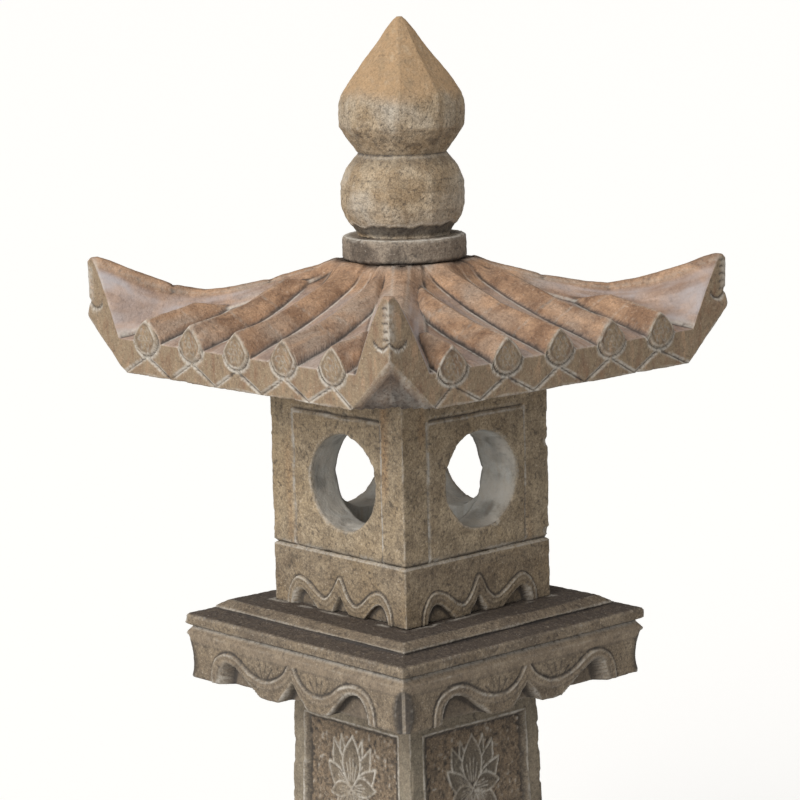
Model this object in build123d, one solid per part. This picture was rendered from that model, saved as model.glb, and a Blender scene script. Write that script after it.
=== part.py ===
from build123d import *
import math
import os

# A square stone garden lantern, built up from eight dry-stacked stones.
# Millimetres, +Z up, origin on the ground at the centre of the base stone's underside.

# Heights of the stones, from the ground up
BASE_HEIGHT = 130.0
SHAFT_HEIGHT = 503.0
PLATFORM_HEIGHT = 87.0
CHAMBER_BASE_HEIGHT = 74.0
CHAMBER_HEIGHT = 221.0
ROOF_HEIGHT = 128.0
SEAT_HEIGHT = 29.0
FINIAL_HEIGHT = 263.0

# Half widths of the square stones
BASE_HALF = 200.0
BASE_TOP_HALF = 148.0
SHAFT_TOP_HALF = 106.0
SHAFT_FOOT_HALF = 118.0
PLATFORM_HALF = 201.5
CHAMBER_HALF = 120.0
CHAMBER_HOLLOW_HALF = 72.0
ROOF_HALF = 274.0

# Pegs carved under a stone, and the sockets that take them
PEG_HALF = 40.0
PEG_LENGTH = 20.0
SMALL_PEG_HALF = 20.0
SMALL_PEG_LENGTH = 13.0
KEY_GAP = 2.0
KEY_END_GAP = 1.5
BOSS_HALF = 69.0
BOSS_HEIGHT = 8.0

# Light chamber
WINDOW_RADIUS = 59.0
WINDOW_CENTRE_ABOVE_JOINT = 89.5
# How far each window lies off the middle of its face, counter-clockwise from the -Y face
WINDOW_SHIFTS = (12.0, 8.0, 8.0, 2.0)
BORE_OVERRUN = 1.0
PANEL_HALF = 80.0
PANEL_TOP_ABOVE_JOINT = 172.5
GROOVE_WIDTH = 4.0
GROOVE_DEPTH = 3.0
JOINT_CHAMFER = 5.0

# Aprons carved under the platform, the chamber base and the base
APRON_RECESS = 14.0
APRON_HANG = 10.0
SMALL_APRON_RECESS = 10.0

# Shaft panels
PANEL_MARGIN_SIDE = 24.0
PANEL_MARGIN_TOP = 54.0
PANEL_MARGIN_FOOT = 46.0
PANEL_RECESS = 4.0

# Roof: heights are above its flat underside
ROOF_TOP_HALF = 62.0
PAN_EAVE_HEIGHT = 48.0
PAN_HALFWAY_HEIGHT = 74.0
ROLL_COUNT = 5
ROLL_PITCH = 83.0
ROLL_RISE = 15.0
ROLL_EAVE_WIDTH = 40.0
ROLL_TOP_WIDTH = 13.0
ROLL_CONVERGENCE = 0.27
DISC_RADIUS = 20.0
DISC_PROUD = 3.0
DISC_CENTRE_HEIGHT = 45.0
EAVE_STRAIGHT_HALF = 208.0
TIP_UNDERSIDE_HEIGHT = 60.0

# Hips: distance out along the diagonal, half width and height, at stations from the top to the tip
HIP_STATIONS = [
    (40, 16, 128),
    (84, 16, 127),
    (131, 20, 112),
    (190, 26, 97),
    (245, 31, 90),
    (290, 36, 98),
    (340, 42, 117),
    (380, 46, 131),
    (390, 47, 126),
]
HIP_CROWN_HALF = 7.0
HIP_SHOULDER_DROP = 26.0
HIP_TIP_RISE = 4.0

# Finial seat and double-gourd finial
SEAT_RADIUS = 76.0
GOURD_FOOT_RADIUS = 58.0
GOURD_RADIUS = 76.0
GOURD_WAIST_RADIUS = 53.0
GOURD_WAIST_HEIGHT = 99.0

# Levels of the joints between the stones
SHAFT_Z = BASE_HEIGHT
PLATFORM_Z = SHAFT_Z + SHAFT_HEIGHT
CHAMBER_BASE_Z = PLATFORM_Z + PLATFORM_HEIGHT
CHAMBER_Z = CHAMBER_BASE_Z + CHAMBER_BASE_HEIGHT
ROOF_Z = CHAMBER_Z + CHAMBER_HEIGHT
SEAT_Z = ROOF_Z + ROOF_HEIGHT
FINIAL_Z = SEAT_Z + SEAT_HEIGHT


def square_block(half, low, high):
    """Square prism about the axis, between two heights."""
    centre = (low + high) / 2
    return Pos(0, 0, centre) * Box(2 * half, 2 * half, high - low)


def upright_face(points):
    """Face in the XZ plane from a closed outline of (x, z) points."""
    return Plane.XZ * make_face(Polyline(*points, close=True))


def moulded_block(outline):
    """Square stone whose side profile is a list of (half width, height) points from the bottom up."""
    right = list(outline)
    left = [(-half, height) for half, height in reversed(outline)]
    reach = max(half for half, height in outline) + 1
    slab = extrude(upright_face(right + left), amount=reach, both=True)
    return slab & (Rot(0, 0, 90) * slab)


def on_four_sides(shape):
    """The shape and its three quarter turns about the axis."""
    return [Rot(0, 0, 90 * turn) * shape for turn in range(4)]


def cut_all(body, tools):
    """The body with each tool cut out of it."""
    for tool in tools:
        body = body - tool
    return body


def add_all(body, pieces):
    """The body with each piece fused to it."""
    for piece in pieces:
        body = body + piece
    return body


def peg(half, length, top):
    """Square peg that hangs below a stone's underside."""
    return square_block(half, top - length, top)


def socket(half, length, top):
    """Room for a peg, with the gap that a hand-cut key has."""
    return square_block(half + KEY_GAP, top - length - KEY_END_GAP, top)


def scalloped_recess(half_points, face_half, depth, bottom):
    """Tool that sinks the ground under an apron's wavy lower edge.
    half_points run from the outer end to the pointed middle, as (x, height above the bottom)."""
    ends_at = half_points[0][0]
    right = Spline(*half_points)
    left = Spline(*[(-x, height) for x, height in half_points])
    floor = Line((-ends_at, 0), (ends_at, 0))
    face = Plane.XZ * make_face([right, left, floor])
    front = Pos(0, -face_half + depth, bottom) * face
    return extrude(front, amount=depth + 1, dir=(0, -1, 0))


def base():
    """Lowest stone: a plinth with a carved apron, a cove and a step that carries the shaft."""
    outline = [
        (BASE_HALF, 0),
        (BASE_HALF, 62),
        (BASE_HALF - 6, 68),
        (BASE_HALF - 6, 72),
        (BASE_HALF, 78),
        (BASE_HALF, 90),
        (BASE_HALF - 26, 100),
        (BASE_TOP_HALF + 4, 116),
        (BASE_TOP_HALF, 118),
        (BASE_TOP_HALF, BASE_HEIGHT),
    ]
    wave = [(150, 0), (146, 26), (118, 38), (84, 26), (52, 17), (22, 27), (0, 46)]
    body = moulded_block(outline)
    recess = scalloped_recess(wave, BASE_HALF, APRON_RECESS, 0)
    body = cut_all(body, on_four_sides(recess))
    return body - socket(PEG_HALF, PEG_LENGTH, SHAFT_Z)


def shaft():
    """Tapered square post with a sunk panel on each face."""
    top = Pos(0, 0, PLATFORM_Z) * Rectangle(2 * SHAFT_TOP_HALF, 2 * SHAFT_TOP_HALF)
    foot = Pos(0, 0, SHAFT_Z) * Rectangle(2 * SHAFT_FOOT_HALF, 2 * SHAFT_FOOT_HALF)
    body = loft([foot, top])
    lean = (SHAFT_FOOT_HALF - SHAFT_TOP_HALF) / SHAFT_HEIGHT
    low = SHAFT_Z + PANEL_MARGIN_FOOT
    high = PLATFORM_Z - PANEL_MARGIN_TOP
    low_face = SHAFT_FOOT_HALF - lean * PANEL_MARGIN_FOOT
    high_face = SHAFT_TOP_HALF + lean * PANEL_MARGIN_TOP
    low_edge = low_face - PANEL_MARGIN_SIDE
    high_edge = high_face - PANEL_MARGIN_SIDE
    front = upright_face([(-low_edge, low), (low_edge, low), (high_edge, high), (-high_edge, high)])
    whole_depth = extrude(front, amount=SHAFT_FOOT_HALF + 1, dir=(0, -1, 0))
    core_points = [
        (-low_face + PANEL_RECESS, low),
        (low_face - PANEL_RECESS, low),
        (high_face - PANEL_RECESS, high),
        (-high_face + PANEL_RECESS, high),
    ]
    core = Rot(0, 0, 90) * extrude(upright_face(core_points), amount=SHAFT_FOOT_HALF, both=True)
    body = cut_all(body, on_four_sides(whole_depth - core))
    body = body + peg(PEG_HALF, PEG_LENGTH, SHAFT_Z)
    return body + square_block(PEG_HALF, PLATFORM_Z, PLATFORM_Z + PEG_LENGTH)


def platform():
    """Broad moulded slab with a stepped top and a scalloped apron that hangs below it."""
    outline = [
        (PLATFORM_HALF - 3, -APRON_HANG),
        (PLATFORM_HALF - 0.5, -APRON_HANG + 4),
        (PLATFORM_HALF - 0.5, 32),
        (PLATFORM_HALF - 3, 42),
        (PLATFORM_HALF - 7, 52),
        (PLATFORM_HALF - 7, 56),
        (PLATFORM_HALF, 59),
        (PLATFORM_HALF, 69),
        (PLATFORM_HALF - 3, 71),
        (PLATFORM_HALF - 26, 77),
        (PLATFORM_HALF - 28, PLATFORM_HEIGHT),
    ]
    wave = [(147, 0), (143, 26), (117, 39), (84, 27), (52, 18), (22, 27), (0, 47)]
    bottom = PLATFORM_Z - APRON_HANG
    body = Pos(0, 0, PLATFORM_Z) * moulded_block(outline)
    recess = scalloped_recess(wave, PLATFORM_HALF, APRON_RECESS, bottom)
    body = cut_all(body, on_four_sides(recess))
    body = body - square_block(PLATFORM_HALF - APRON_RECESS, bottom - 1, PLATFORM_Z)
    body = body - socket(PEG_HALF, PEG_LENGTH, CHAMBER_BASE_Z)
    return body - square_block(PEG_HALF + KEY_GAP, PLATFORM_Z - 1, PLATFORM_Z + PEG_LENGTH + KEY_END_GAP)


def chamber_base():
    """Block under the light chamber, with a small scalloped apron, a peg below and a raised floor above."""
    top = CHAMBER_BASE_HEIGHT
    outline = [
        (CHAMBER_HALF, 0),
        (CHAMBER_HALF, top - JOINT_CHAMFER),
        (CHAMBER_HALF - JOINT_CHAMFER, top),
    ]
    wave = [(92, 0), (89, 20), (72, 33), (48, 20), (24, 11), (10, 22), (0, 42)]
    body = Pos(0, 0, CHAMBER_BASE_Z) * moulded_block(outline)
    recess = scalloped_recess(wave, CHAMBER_HALF, SMALL_APRON_RECESS, CHAMBER_BASE_Z)
    body = cut_all(body, on_four_sides(recess))
    body = body + square_block(BOSS_HALF, CHAMBER_Z, CHAMBER_Z + BOSS_HEIGHT)
    return body + peg(PEG_HALF, PEG_LENGTH, CHAMBER_BASE_Z)


def panel_grooves():
    """Incised border round three sides of the window on one face of the chamber."""
    top = CHAMBER_Z + PANEL_TOP_ABOVE_JOINT
    middle = (CHAMBER_Z + top) / 2
    upright = Box(GROOVE_WIDTH, 2 * GROOVE_DEPTH, top - CHAMBER_Z)
    level = Box(2 * PANEL_HALF + GROOVE_WIDTH, 2 * GROOVE_DEPTH, GROOVE_WIDTH)
    left = Pos(-PANEL_HALF, -CHAMBER_HALF, middle) * upright
    right = Pos(PANEL_HALF, -CHAMBER_HALF, middle) * upright
    return left + right + Pos(0, -CHAMBER_HALF, top - GROOVE_WIDTH / 2) * level


def light_chamber():
    """Hollow square block, open above and below, with a round window through each wall."""
    outline = [
        (CHAMBER_HALF - JOINT_CHAMFER, 0),
        (CHAMBER_HALF, JOINT_CHAMFER),
        (CHAMBER_HALF, CHAMBER_HEIGHT),
    ]
    body = Pos(0, 0, CHAMBER_Z) * moulded_block(outline)
    body = body - square_block(CHAMBER_HOLLOW_HALF, CHAMBER_Z - 1, ROOF_Z + 1)
    bore = Rot(90, 0, 0) * Cylinder(WINDOW_RADIUS, CHAMBER_HALF)
    depth = CHAMBER_HALF / 2 + BORE_OVERRUN
    for index, shift in enumerate(WINDOW_SHIFTS):
        window = Pos(shift, -depth, CHAMBER_Z + WINDOW_CENTRE_ABOVE_JOINT) * bore
        body = body - Rot(0, 0, 90 * index) * window
    return cut_all(body, on_four_sides(panel_grooves()))


def roof_slope(rise):
    """Upright face under the concave slope, from the eave to the middle.
    rise lifts the slope above the pans at the eave and halfway up, and dies out at the top."""
    halfway = (ROOF_HALF + ROOF_TOP_HALF) / 2
    eave = (-ROOF_HALF, PAN_EAVE_HEIGHT + rise)
    top = (-ROOF_TOP_HALF, ROOF_HEIGHT)
    slope = ThreePointArc(eave, (-halfway, PAN_HALFWAY_HEIGHT + rise), top)
    edge = Polyline(top, (0, ROOF_HEIGHT), (0, 0), (-ROOF_HALF, 0), eave)
    return Plane.YZ * make_face([slope, edge])


def roof_side():
    """One quarter of the roof, between two hips, with its tile rolls and their round end discs."""
    wedge_points = [(0, 0), (-ROOF_HALF, -ROOF_HALF), (ROOF_HALF, -ROOF_HALF)]
    wedge = extrude(make_face(Polyline(*wedge_points, close=True)), amount=ROOF_HEIGHT)
    side = extrude(roof_slope(0), amount=ROOF_HALF, both=True) & wedge
    raised = extrude(roof_slope(ROLL_RISE), amount=ROOF_HALF, both=True)
    for index in range(ROLL_COUNT):
        eave_x = (index - (ROLL_COUNT - 1) / 2) * ROLL_PITCH
        top_x = eave_x * ROLL_CONVERGENCE
        plan_points = [
            (eave_x - ROLL_EAVE_WIDTH / 2, -ROOF_HALF),
            (eave_x + ROLL_EAVE_WIDTH / 2, -ROOF_HALF),
            (top_x + ROLL_TOP_WIDTH / 2, -ROOF_TOP_HALF),
            (top_x - ROLL_TOP_WIDTH / 2, -ROOF_TOP_HALF),
        ]
        plan = extrude(make_face(Polyline(*plan_points, close=True)), amount=ROOF_HEIGHT)
        disc = Rot(90, 0, 0) * Cylinder(DISC_RADIUS, 2 * DISC_PROUD)
        side = side + (raised & plan) + Pos(eave_x, -ROOF_HALF, DISC_CENTRE_HEIGHT) * disc
    return side


def hip_section(distance, half_width, height):
    """Upright section through a hip, square to the diagonal, with a narrow crown."""
    shoulder = height - HIP_SHOULDER_DROP
    points = [
        (-half_width, 0),
        (half_width, 0),
        (half_width, shoulder),
        (HIP_CROWN_HALF, height),
        (-HIP_CROWN_HALF, height),
        (-half_width, shoulder),
    ]
    return Pos(distance, 0, 0) * (Plane.YZ * make_face(Polyline(*points, close=True)))


def hip():
    """Upswept hip ridge, lofted along the diagonal of the first corner."""
    sections = [hip_section(*station) for station in HIP_STATIONS]
    ridge = Rot(0, 0, 45) * loft(sections, ruled=True)
    return ridge & square_block(ROOF_HALF, 0, ROOF_HEIGHT + HIP_TIP_RISE)


def corner_underside():
    """Wedge cut away under the first corner, so that the eave's lower edge turns up to the tip."""
    near = (EAVE_STRAIGHT_HALF + ROOF_HALF) / math.sqrt(2)
    corner = ROOF_HALF * math.sqrt(2)
    climb = TIP_UNDERSIDE_HEIGHT / (corner - near)
    far = corner + 20
    points = [(near - 1 / climb, -1), (far, climb * (far - near)), (far, -1)]
    return Rot(0, 0, 45) * extrude(upright_face(points), amount=ROOF_HALF, both=True)


def roof():
    """Concave four-sided roof with upturned corners, keyed into the chamber by a square boss."""
    sides = on_four_sides(roof_side())
    body = add_all(sides[0], sides[1:] + on_four_sides(hip()))
    body = cut_all(body, on_four_sides(corner_underside()))
    body = body - socket(SMALL_PEG_HALF, SMALL_PEG_LENGTH, ROOF_HEIGHT)
    return Pos(0, 0, ROOF_Z) * (body + square_block(BOSS_HALF, -BOSS_HEIGHT, 0))


def finial_seat():
    """Flat round stone between the roof and the finial."""
    disc = Pos(0, 0, SEAT_Z + SEAT_HEIGHT / 2) * Cylinder(SEAT_RADIUS, SEAT_HEIGHT)
    disc = disc - socket(SMALL_PEG_HALF, SMALL_PEG_LENGTH, FINIAL_Z)
    return disc + peg(SMALL_PEG_HALF, SMALL_PEG_LENGTH, SEAT_Z)


def finial():
    """Double gourd: a round lower bulb, a waist, and an upper bulb drawn up to a point."""
    waist = (GOURD_WAIST_RADIUS, GOURD_WAIST_HEIGHT)
    shoulder = (GOURD_RADIUS - 3, 170)
    lower = ThreePointArc((GOURD_FOOT_RADIUS, 0), (GOURD_RADIUS, 52), waist)
    upper = ThreePointArc(waist, (GOURD_RADIUS, 142), shoulder)
    point = Polyline(shoulder, (59, 189), (40, 216), (17, 247), (5, FINIAL_HEIGHT), (0, FINIAL_HEIGHT))
    axis = Polyline((0, FINIAL_HEIGHT), (0, 0), (GOURD_FOOT_RADIUS, 0))
    half_section = Plane.XZ * make_face([lower, upper, point, axis])
    body = Pos(0, 0, FINIAL_Z) * revolve(half_section, Axis.Z)
    return body + peg(SMALL_PEG_HALF, SMALL_PEG_LENGTH, FINIAL_Z)


STONES = {
    "base": base,
    "shaft": shaft,
    "platform": platform,
    "chamber_base": chamber_base,
    "light_chamber": light_chamber,
    "roof": roof,
    "finial_seat": finial_seat,
    "finial": finial,
}

os.makedirs("parts", exist_ok=True)
for name, make_stone in STONES.items():
    export_step(make_stone(), f"parts/{name}.step")
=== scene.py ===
import math

import bpy
import numpy as np
from mathutils import Matrix, Vector


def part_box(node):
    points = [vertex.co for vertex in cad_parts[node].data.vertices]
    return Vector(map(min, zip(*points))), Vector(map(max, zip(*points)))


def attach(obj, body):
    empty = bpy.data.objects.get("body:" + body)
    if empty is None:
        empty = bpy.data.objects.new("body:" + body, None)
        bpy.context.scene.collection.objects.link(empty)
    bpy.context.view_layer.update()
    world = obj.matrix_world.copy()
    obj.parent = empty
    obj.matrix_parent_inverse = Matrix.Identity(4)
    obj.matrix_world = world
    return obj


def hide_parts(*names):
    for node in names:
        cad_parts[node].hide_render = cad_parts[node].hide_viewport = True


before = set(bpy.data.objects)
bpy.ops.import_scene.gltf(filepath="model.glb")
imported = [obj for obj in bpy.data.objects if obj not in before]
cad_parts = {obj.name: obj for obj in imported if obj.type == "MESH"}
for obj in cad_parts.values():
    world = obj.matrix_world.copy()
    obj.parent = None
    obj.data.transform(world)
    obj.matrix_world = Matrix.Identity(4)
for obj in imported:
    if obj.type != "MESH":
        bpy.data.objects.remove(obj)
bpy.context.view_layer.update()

# A square garden lantern of eight stacked stones. Each stone is a carved mesh that stands for its CAD node.
# Shapes are worked out in millimetres in the frame's own axes, and become metres when the mesh is made.
MM = 0.001
SIDES = 4


def node_box(node):
    """Lowest and highest corner of a CAD node, in millimetres."""
    low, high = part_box(node)
    return np.array(low) / MM, np.array(high) / MM


# Keys that hold the stones together, as the CAD has them
LONG_PEG = 20.0
SHORT_PEG = 13.0
PEG_HALF = 40.0
SMALL_PEG_HALF = 20.0
KEY_GAP = 2.0
KEY_END_GAP = 1.5
SOCKET_HALF = PEG_HALF + KEY_GAP
SOCKET_DEPTH = LONG_PEG + KEY_END_GAP
CORE_MIDDLE = 6.0
BOSS_HALF = 69.0
BOSS_HEIGHT = 8.0

# Levels and half widths, from the frame
BASE_TOP = node_box("base")[1][2]
BASE_HALF = node_box("base")[1][0]
SHAFT_TOP = node_box("shaft")[1][2] - LONG_PEG
SHAFT_FOOT_HALF = node_box("shaft")[1][0]
SHAFT_TOP_HALF = SHAFT_FOOT_HALF - 12.0
PLATFORM_FOOT = node_box("platform")[0][2]
PLATFORM_TOP = node_box("platform")[1][2]
PLATFORM_HALF = node_box("platform")[1][0]
CHAMBER_FOOT = node_box("light_chamber")[0][2]
CHAMBER_TOP = node_box("light_chamber")[1][2]
CHAMBER_HALF = node_box("light_chamber")[1][0]
HOLLOW_HALF = 72.0
WINDOW_RADIUS = 59.0
WINDOW_CENTRE_ABOVE_JOINT = 89.5
# How far each window lies off the middle of its face, counter-clockwise from the -Y face, at the outside of
# the wall and at the hollow
WINDOW_SHIFTS = (12.0, 8.0, 8.0, 2.0)
HOLLOW_SHIFTS = (6.0, -6.0, 4.0, 2.0)
SEAT_TOP = node_box("finial_seat")[1][2]
SEAT_FOOT = node_box("finial_seat")[0][2] + SHORT_PEG
SEAT_RADIUS = node_box("finial_seat")[1][0]
TIP = node_box("finial")[1][2]
ROOF_HALF = 274.0


# ---------------------------------------------------------------- noise and curves

def lattice_value(x, y, z, seed):
    """Repeatable number from 0 to 1 for each whole-number cell."""
    mask = 0xFFFFFFFF
    mixed = ((x * 73856093) ^ (y * 19349663) ^ (z * 83492791) ^ (seed * 668265263)) & mask
    mixed = ((mixed ^ (mixed >> 15)) * 2246822519) & mask
    mixed = ((mixed ^ (mixed >> 13)) * 3266489917) & mask
    return ((mixed ^ (mixed >> 16)) & 0xFFFFFF) / 0xFFFFFF


def noise(points, size, seed):
    """Smooth noise from -1 to 1 that changes over about size millimetres."""
    scaled = points / size
    cell = np.floor(scaled).astype(np.int64)
    part = scaled - cell
    part = part * part * (3 - 2 * part)
    total = np.zeros(points.shape[:-1])
    for corner in range(8):
        step = ((corner & 1), (corner >> 1) & 1, (corner >> 2) & 1)
        weight = 1.0
        for axis in range(3):
            weight = weight * (part[..., axis] if step[axis] else 1 - part[..., axis])
        value = lattice_value(cell[..., 0] + step[0], cell[..., 1] + step[1], cell[..., 2] + step[2], seed)
        total += weight * value
    return total * 2 - 1


def layered_noise(points, size, seed, layers=3):
    """Noise with finer and weaker layers added."""
    return sum(noise(points, size / 2 ** i, seed + i) / 2 ** i for i in range(layers))


def ramp(value, low, high):
    """0 below low, 1 above high, smooth between them. low may be the larger."""
    t = np.clip((value - low) / (high - low), 0, 1)
    return t * t * (3 - 2 * t)


def smooth_curve(points, steps=8):
    """Points along a smooth curve through the given points."""
    p = np.array(points, float)
    p = np.vstack([2 * p[0] - p[1], p, 2 * p[-1] - p[-2]])
    found = []
    for a, b, c, d in zip(p[:-3], p[1:-2], p[2:-1], p[3:]):
        for t in np.arange(steps) / steps:
            found.append(0.5 * (2 * b + (c - a) * t + (2 * a - 5 * b + 4 * c - d) * t * t
                                + (3 * b - a - 3 * c + d) * t ** 3))
    found.append(p[-2])
    return np.array(found)


def distance_to(x, z, line):
    """Distance from each place to a line of points."""
    nearest = np.full(x.shape, 1e9)
    for (ax, az), (bx, bz) in zip(line[:-1], line[1:]):
        dx, dz = bx - ax, bz - az
        t = np.clip(((x - ax) * dx + (z - az) * dz) / (dx * dx + dz * dz + 1e-12), 0, 1)
        nearest = np.minimum(nearest, np.hypot(x - ax - t * dx, z - az - t * dz))
    return nearest


def bell(value, width):
    """1 at zero, falling away over width."""
    return np.exp(-(value / width) ** 2)


# ---------------------------------------------------------------- meshes

class Stone:
    """Vertices, faces and paint of one stone, gathered as it is built.
    Paint is four numbers a vertex: pale dust on worn lines with painted highlight on edges, dirt with painted
    shade in hollows, grooves and under overhangs, zone for a second tone, and smooth for a worn third tone.
    Flow is the place that streaks are drawn from: streaks run where it changes least."""

    def __init__(self):
        self.points = []
        self.paint = []
        self.flow = []
        self.quads = []
        self.polygons = []
        self.count = 0

    def add(self, points, paint=None, flow=None):
        """Adds vertices and returns their numbers, in the same grid as the points."""
        grid = points.shape[:-1]
        amount = int(np.prod(grid))
        self.points.append(points.reshape(-1, 3))
        self.paint.append(np.zeros((amount, 4)) if paint is None else paint.reshape(-1, 4))
        self.flow.append((points * (1, 1, 0.18) if flow is None else flow).reshape(-1, 3))
        numbers = np.arange(self.count, self.count + amount).reshape(grid)
        self.count += amount
        return numbers

    def skin(self, numbers, keep=None):
        """Quads over a grid of rings, each ring closed on itself."""
        after = np.roll(numbers, -1, axis=1)
        quads = np.stack([numbers[:-1], after[:-1], after[1:], numbers[1:]], axis=-1)
        self.quads.append(quads.reshape(-1, 4) if keep is None else quads[keep])

    def join(self, fine, coarse):
        """Joins two rings, where the first may have a whole number of times as many vertices."""
        share = len(fine) // len(coarse)
        for i in range(len(coarse)):
            near = [int(fine[(i * share + j) % len(fine)]) for j in range(share + 1)]
            far = [int(coarse[(i + 1) % len(coarse)]), int(coarse[i])]
            self.polygons.append(near + far)

    def cap(self, ring):
        self.polygons.append([int(v) for v in ring])

    def arrays(self):
        return np.vstack(self.points), np.vstack(self.paint)

    def flows(self):
        return np.vstack(self.flow) * MM


def make_mesh(name, stone):
    """Blender mesh, in millimetres for now, with its faces turned outwards."""
    points, paint = stone.arrays()
    quads = np.vstack(stone.quads)
    loops = [quads.ravel()] + [np.array(p) for p in stone.polygons]
    sizes = np.array([4] * len(quads) + [len(p) for p in stone.polygons])
    loops = np.concatenate(loops)
    starts = np.concatenate([[0], np.cumsum(sizes)[:-1]])
    mesh = bpy.data.meshes.new(name)
    mesh.vertices.add(len(points))
    mesh.vertices.foreach_set("co", points.ravel())
    mesh.loops.add(len(loops))
    mesh.loops.foreach_set("vertex_index", loops.astype(np.int32))
    mesh.polygons.add(len(sizes))
    mesh.polygons.foreach_set("loop_start", starts.astype(np.int32))
    mesh.polygons.foreach_set("loop_total", sizes.astype(np.int32))
    mesh.update(calc_edges=True)
    mesh.validate()
    a, b, c = (points[quads[:, i]] for i in range(3))
    if np.einsum("ij,ij->i", a, np.cross(b, c)).sum() < 0:
        mesh.flip_normals()
    return mesh, points, paint


def normals_of(mesh, points):
    mesh.vertices.foreach_set("co", points.ravel())
    mesh.update()
    found = np.zeros(len(points) * 3, np.float32)
    mesh.vertex_normals.foreach_get("vector", found)
    return found.reshape(-1, 3).astype(float)


class Neighbours:
    """Averages over the vertices that share an edge with each vertex."""

    def __init__(self, mesh, amount):
        edges = np.zeros(len(mesh.edges) * 2, np.int32)
        mesh.edges.foreach_get("vertices", edges)
        self.a, self.b = edges.reshape(-1, 2).T
        self.amount = amount
        self.degree = np.bincount(self.a, minlength=amount) + np.bincount(self.b, minlength=amount)
        self.degree = np.maximum(self.degree, 1)

    def average(self, values):
        found = np.empty_like(values)
        for axis in range(values.shape[1]):
            column = values[:, axis]
            found[:, axis] = np.bincount(self.a, column[self.b], self.amount)
            found[:, axis] += np.bincount(self.b, column[self.a], self.amount)
        return found / self.degree[:, None]


def weather(mesh, points, paint, seed, wear=3, rough=0.5, swell=0.7, dents=()):
    """Softens and chips the arrises, roughens the faces, puts pale dust with painted highlight on standing
    edges, and dirt with painted shade in hollows.
    """
    around = Neighbours(mesh, len(points))
    normals = normals_of(mesh, points)
    chips = ramp(layered_noise(points, 15, seed + 40), 0.15, 0.8)
    for _ in range(wear):
        pull = around.average(points) - points
        stands_out = -np.einsum("ij,ij->i", pull, normals)
        weight = (0.3 + 0.7 * chips) * ramp(stands_out, 0.02, 0.2)
        length = np.linalg.norm(pull, axis=1) + 1e-9
        pull *= np.minimum(1, (0.28 + 0.5 * chips) / length)[:, None]
        points = points + pull * weight[:, None]
    normals = normals_of(mesh, points)
    wavy = swell * (noise(points, 55, seed) + 0.5 * noise(points, 19, seed + 1))
    coarse = 1 - 0.75 * np.clip(paint[:, 3], 0, 1)
    tooled = rough * coarse * (0.6 * noise(points, 5.0, seed + 2) + 0.5 * noise(points, 2.7, seed + 3))
    points = points + normals * (wavy + tooled)[:, None]
    points[:, 2] = np.maximum(points[:, 2], 0)
    paint = paint.copy()
    for place, radius, depth in dents:
        gap = np.linalg.norm(points - np.array(place, float), axis=1)
        gap = gap / (radius * (1 + 0.35 * noise(points, 7, seed + 9)))
        hit = np.clip(1 - gap * gap, 0, 1)
        points = points - normals * (depth * hit)[:, None]
        paint[:, 0] += 0.5 * ramp(hit, 0, 0.3) * (hit > 0)
    normals = normals_of(mesh, points)
    near = points
    for _ in range(3):
        near = around.average(near)
    wide = near
    for _ in range(14):
        wide = around.average(wide)
    fine = np.einsum("ij,ij->i", points - near, normals)
    broad = np.einsum("ij,ij->i", points - wide, normals)
    patchy = 0.25 + 0.75 * ramp(layered_noise(points, 24, seed + 50), -0.3, 0.6)
    # Painted highlight, partly real wear: pale paint on standing edges. Painted shade, partly real dirt: dark
    # paint in broad and fine hollows.
    paint[:, 0] += 0.5 * ramp(fine, 0.15, 0.8) * patchy
    paint[:, 1] += 0.7 * ramp(-broad, 0.3, 2.2) + 0.55 * ramp(-fine, 0.12, 0.6)
    mesh.vertices.foreach_set("co", points.ravel())
    mesh.update()
    return np.clip(paint, 0, 1)


def place_stone(name, stone, material, seed, **how):
    """Weathers a stone, gives it its material, and puts it on its body in place of the CAD node."""
    mesh, points, paint = make_mesh(name + "_carved", stone)
    paint = weather(mesh, points, paint, seed, **how)
    for index, label in enumerate(("chalk_and_highlight", "grime_and_shade", "zone", "smooth")):
        layer = mesh.attributes.new(label, "FLOAT", "POINT")
        layer.data.foreach_set("value", paint[:, index].astype(np.float32))
    layer = mesh.attributes.new("flow", "FLOAT_VECTOR", "POINT")
    layer.data.foreach_set("vector", stone.flows().astype(np.float32).ravel())
    mesh.transform(Matrix.Scale(MM, 4))
    mesh.polygons.foreach_set("use_smooth", np.ones(len(mesh.polygons), bool))
    mesh.materials.append(material)
    piece = bpy.data.objects.new(name + "_carved", mesh)
    bpy.context.scene.collection.objects.link(piece)
    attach(piece, name)
    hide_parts(name)
    return piece


# ---------------------------------------------------------------- square stones

def profile_rows(corners, step):
    """Rows up a profile of (half width, height) corners, no further apart than step."""
    rows = [corners[0]]
    for (h0, z0), (h1, z1) in zip(corners[:-1], corners[1:]):
        parts = max(1, int(math.ceil(math.hypot(h1 - h0, z1 - z0) / step)))
        rows += [(h0 + (h1 - h0) * i / parts, z0 + (z1 - z0) * i / parts) for i in range(1, parts + 1)]
    return np.array(rows, float)


def row_directions(rows):
    """Outward direction of a profile at each row, as (sideways, up)."""
    along = np.gradient(rows, axis=0)
    out = np.stack([along[:, 1], -along[:, 0]], axis=1)
    return out / np.linalg.norm(out, axis=1)[:, None]


def turn(points, side):
    """Quarter turns about the axis."""
    angle = side * math.pi / 2
    c, s = math.cos(angle), math.sin(angle)
    x, y = points[..., 0], points[..., 1]
    return np.stack([c * x - s * y, s * x + c * y, points[..., 2]], axis=-1)


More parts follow.
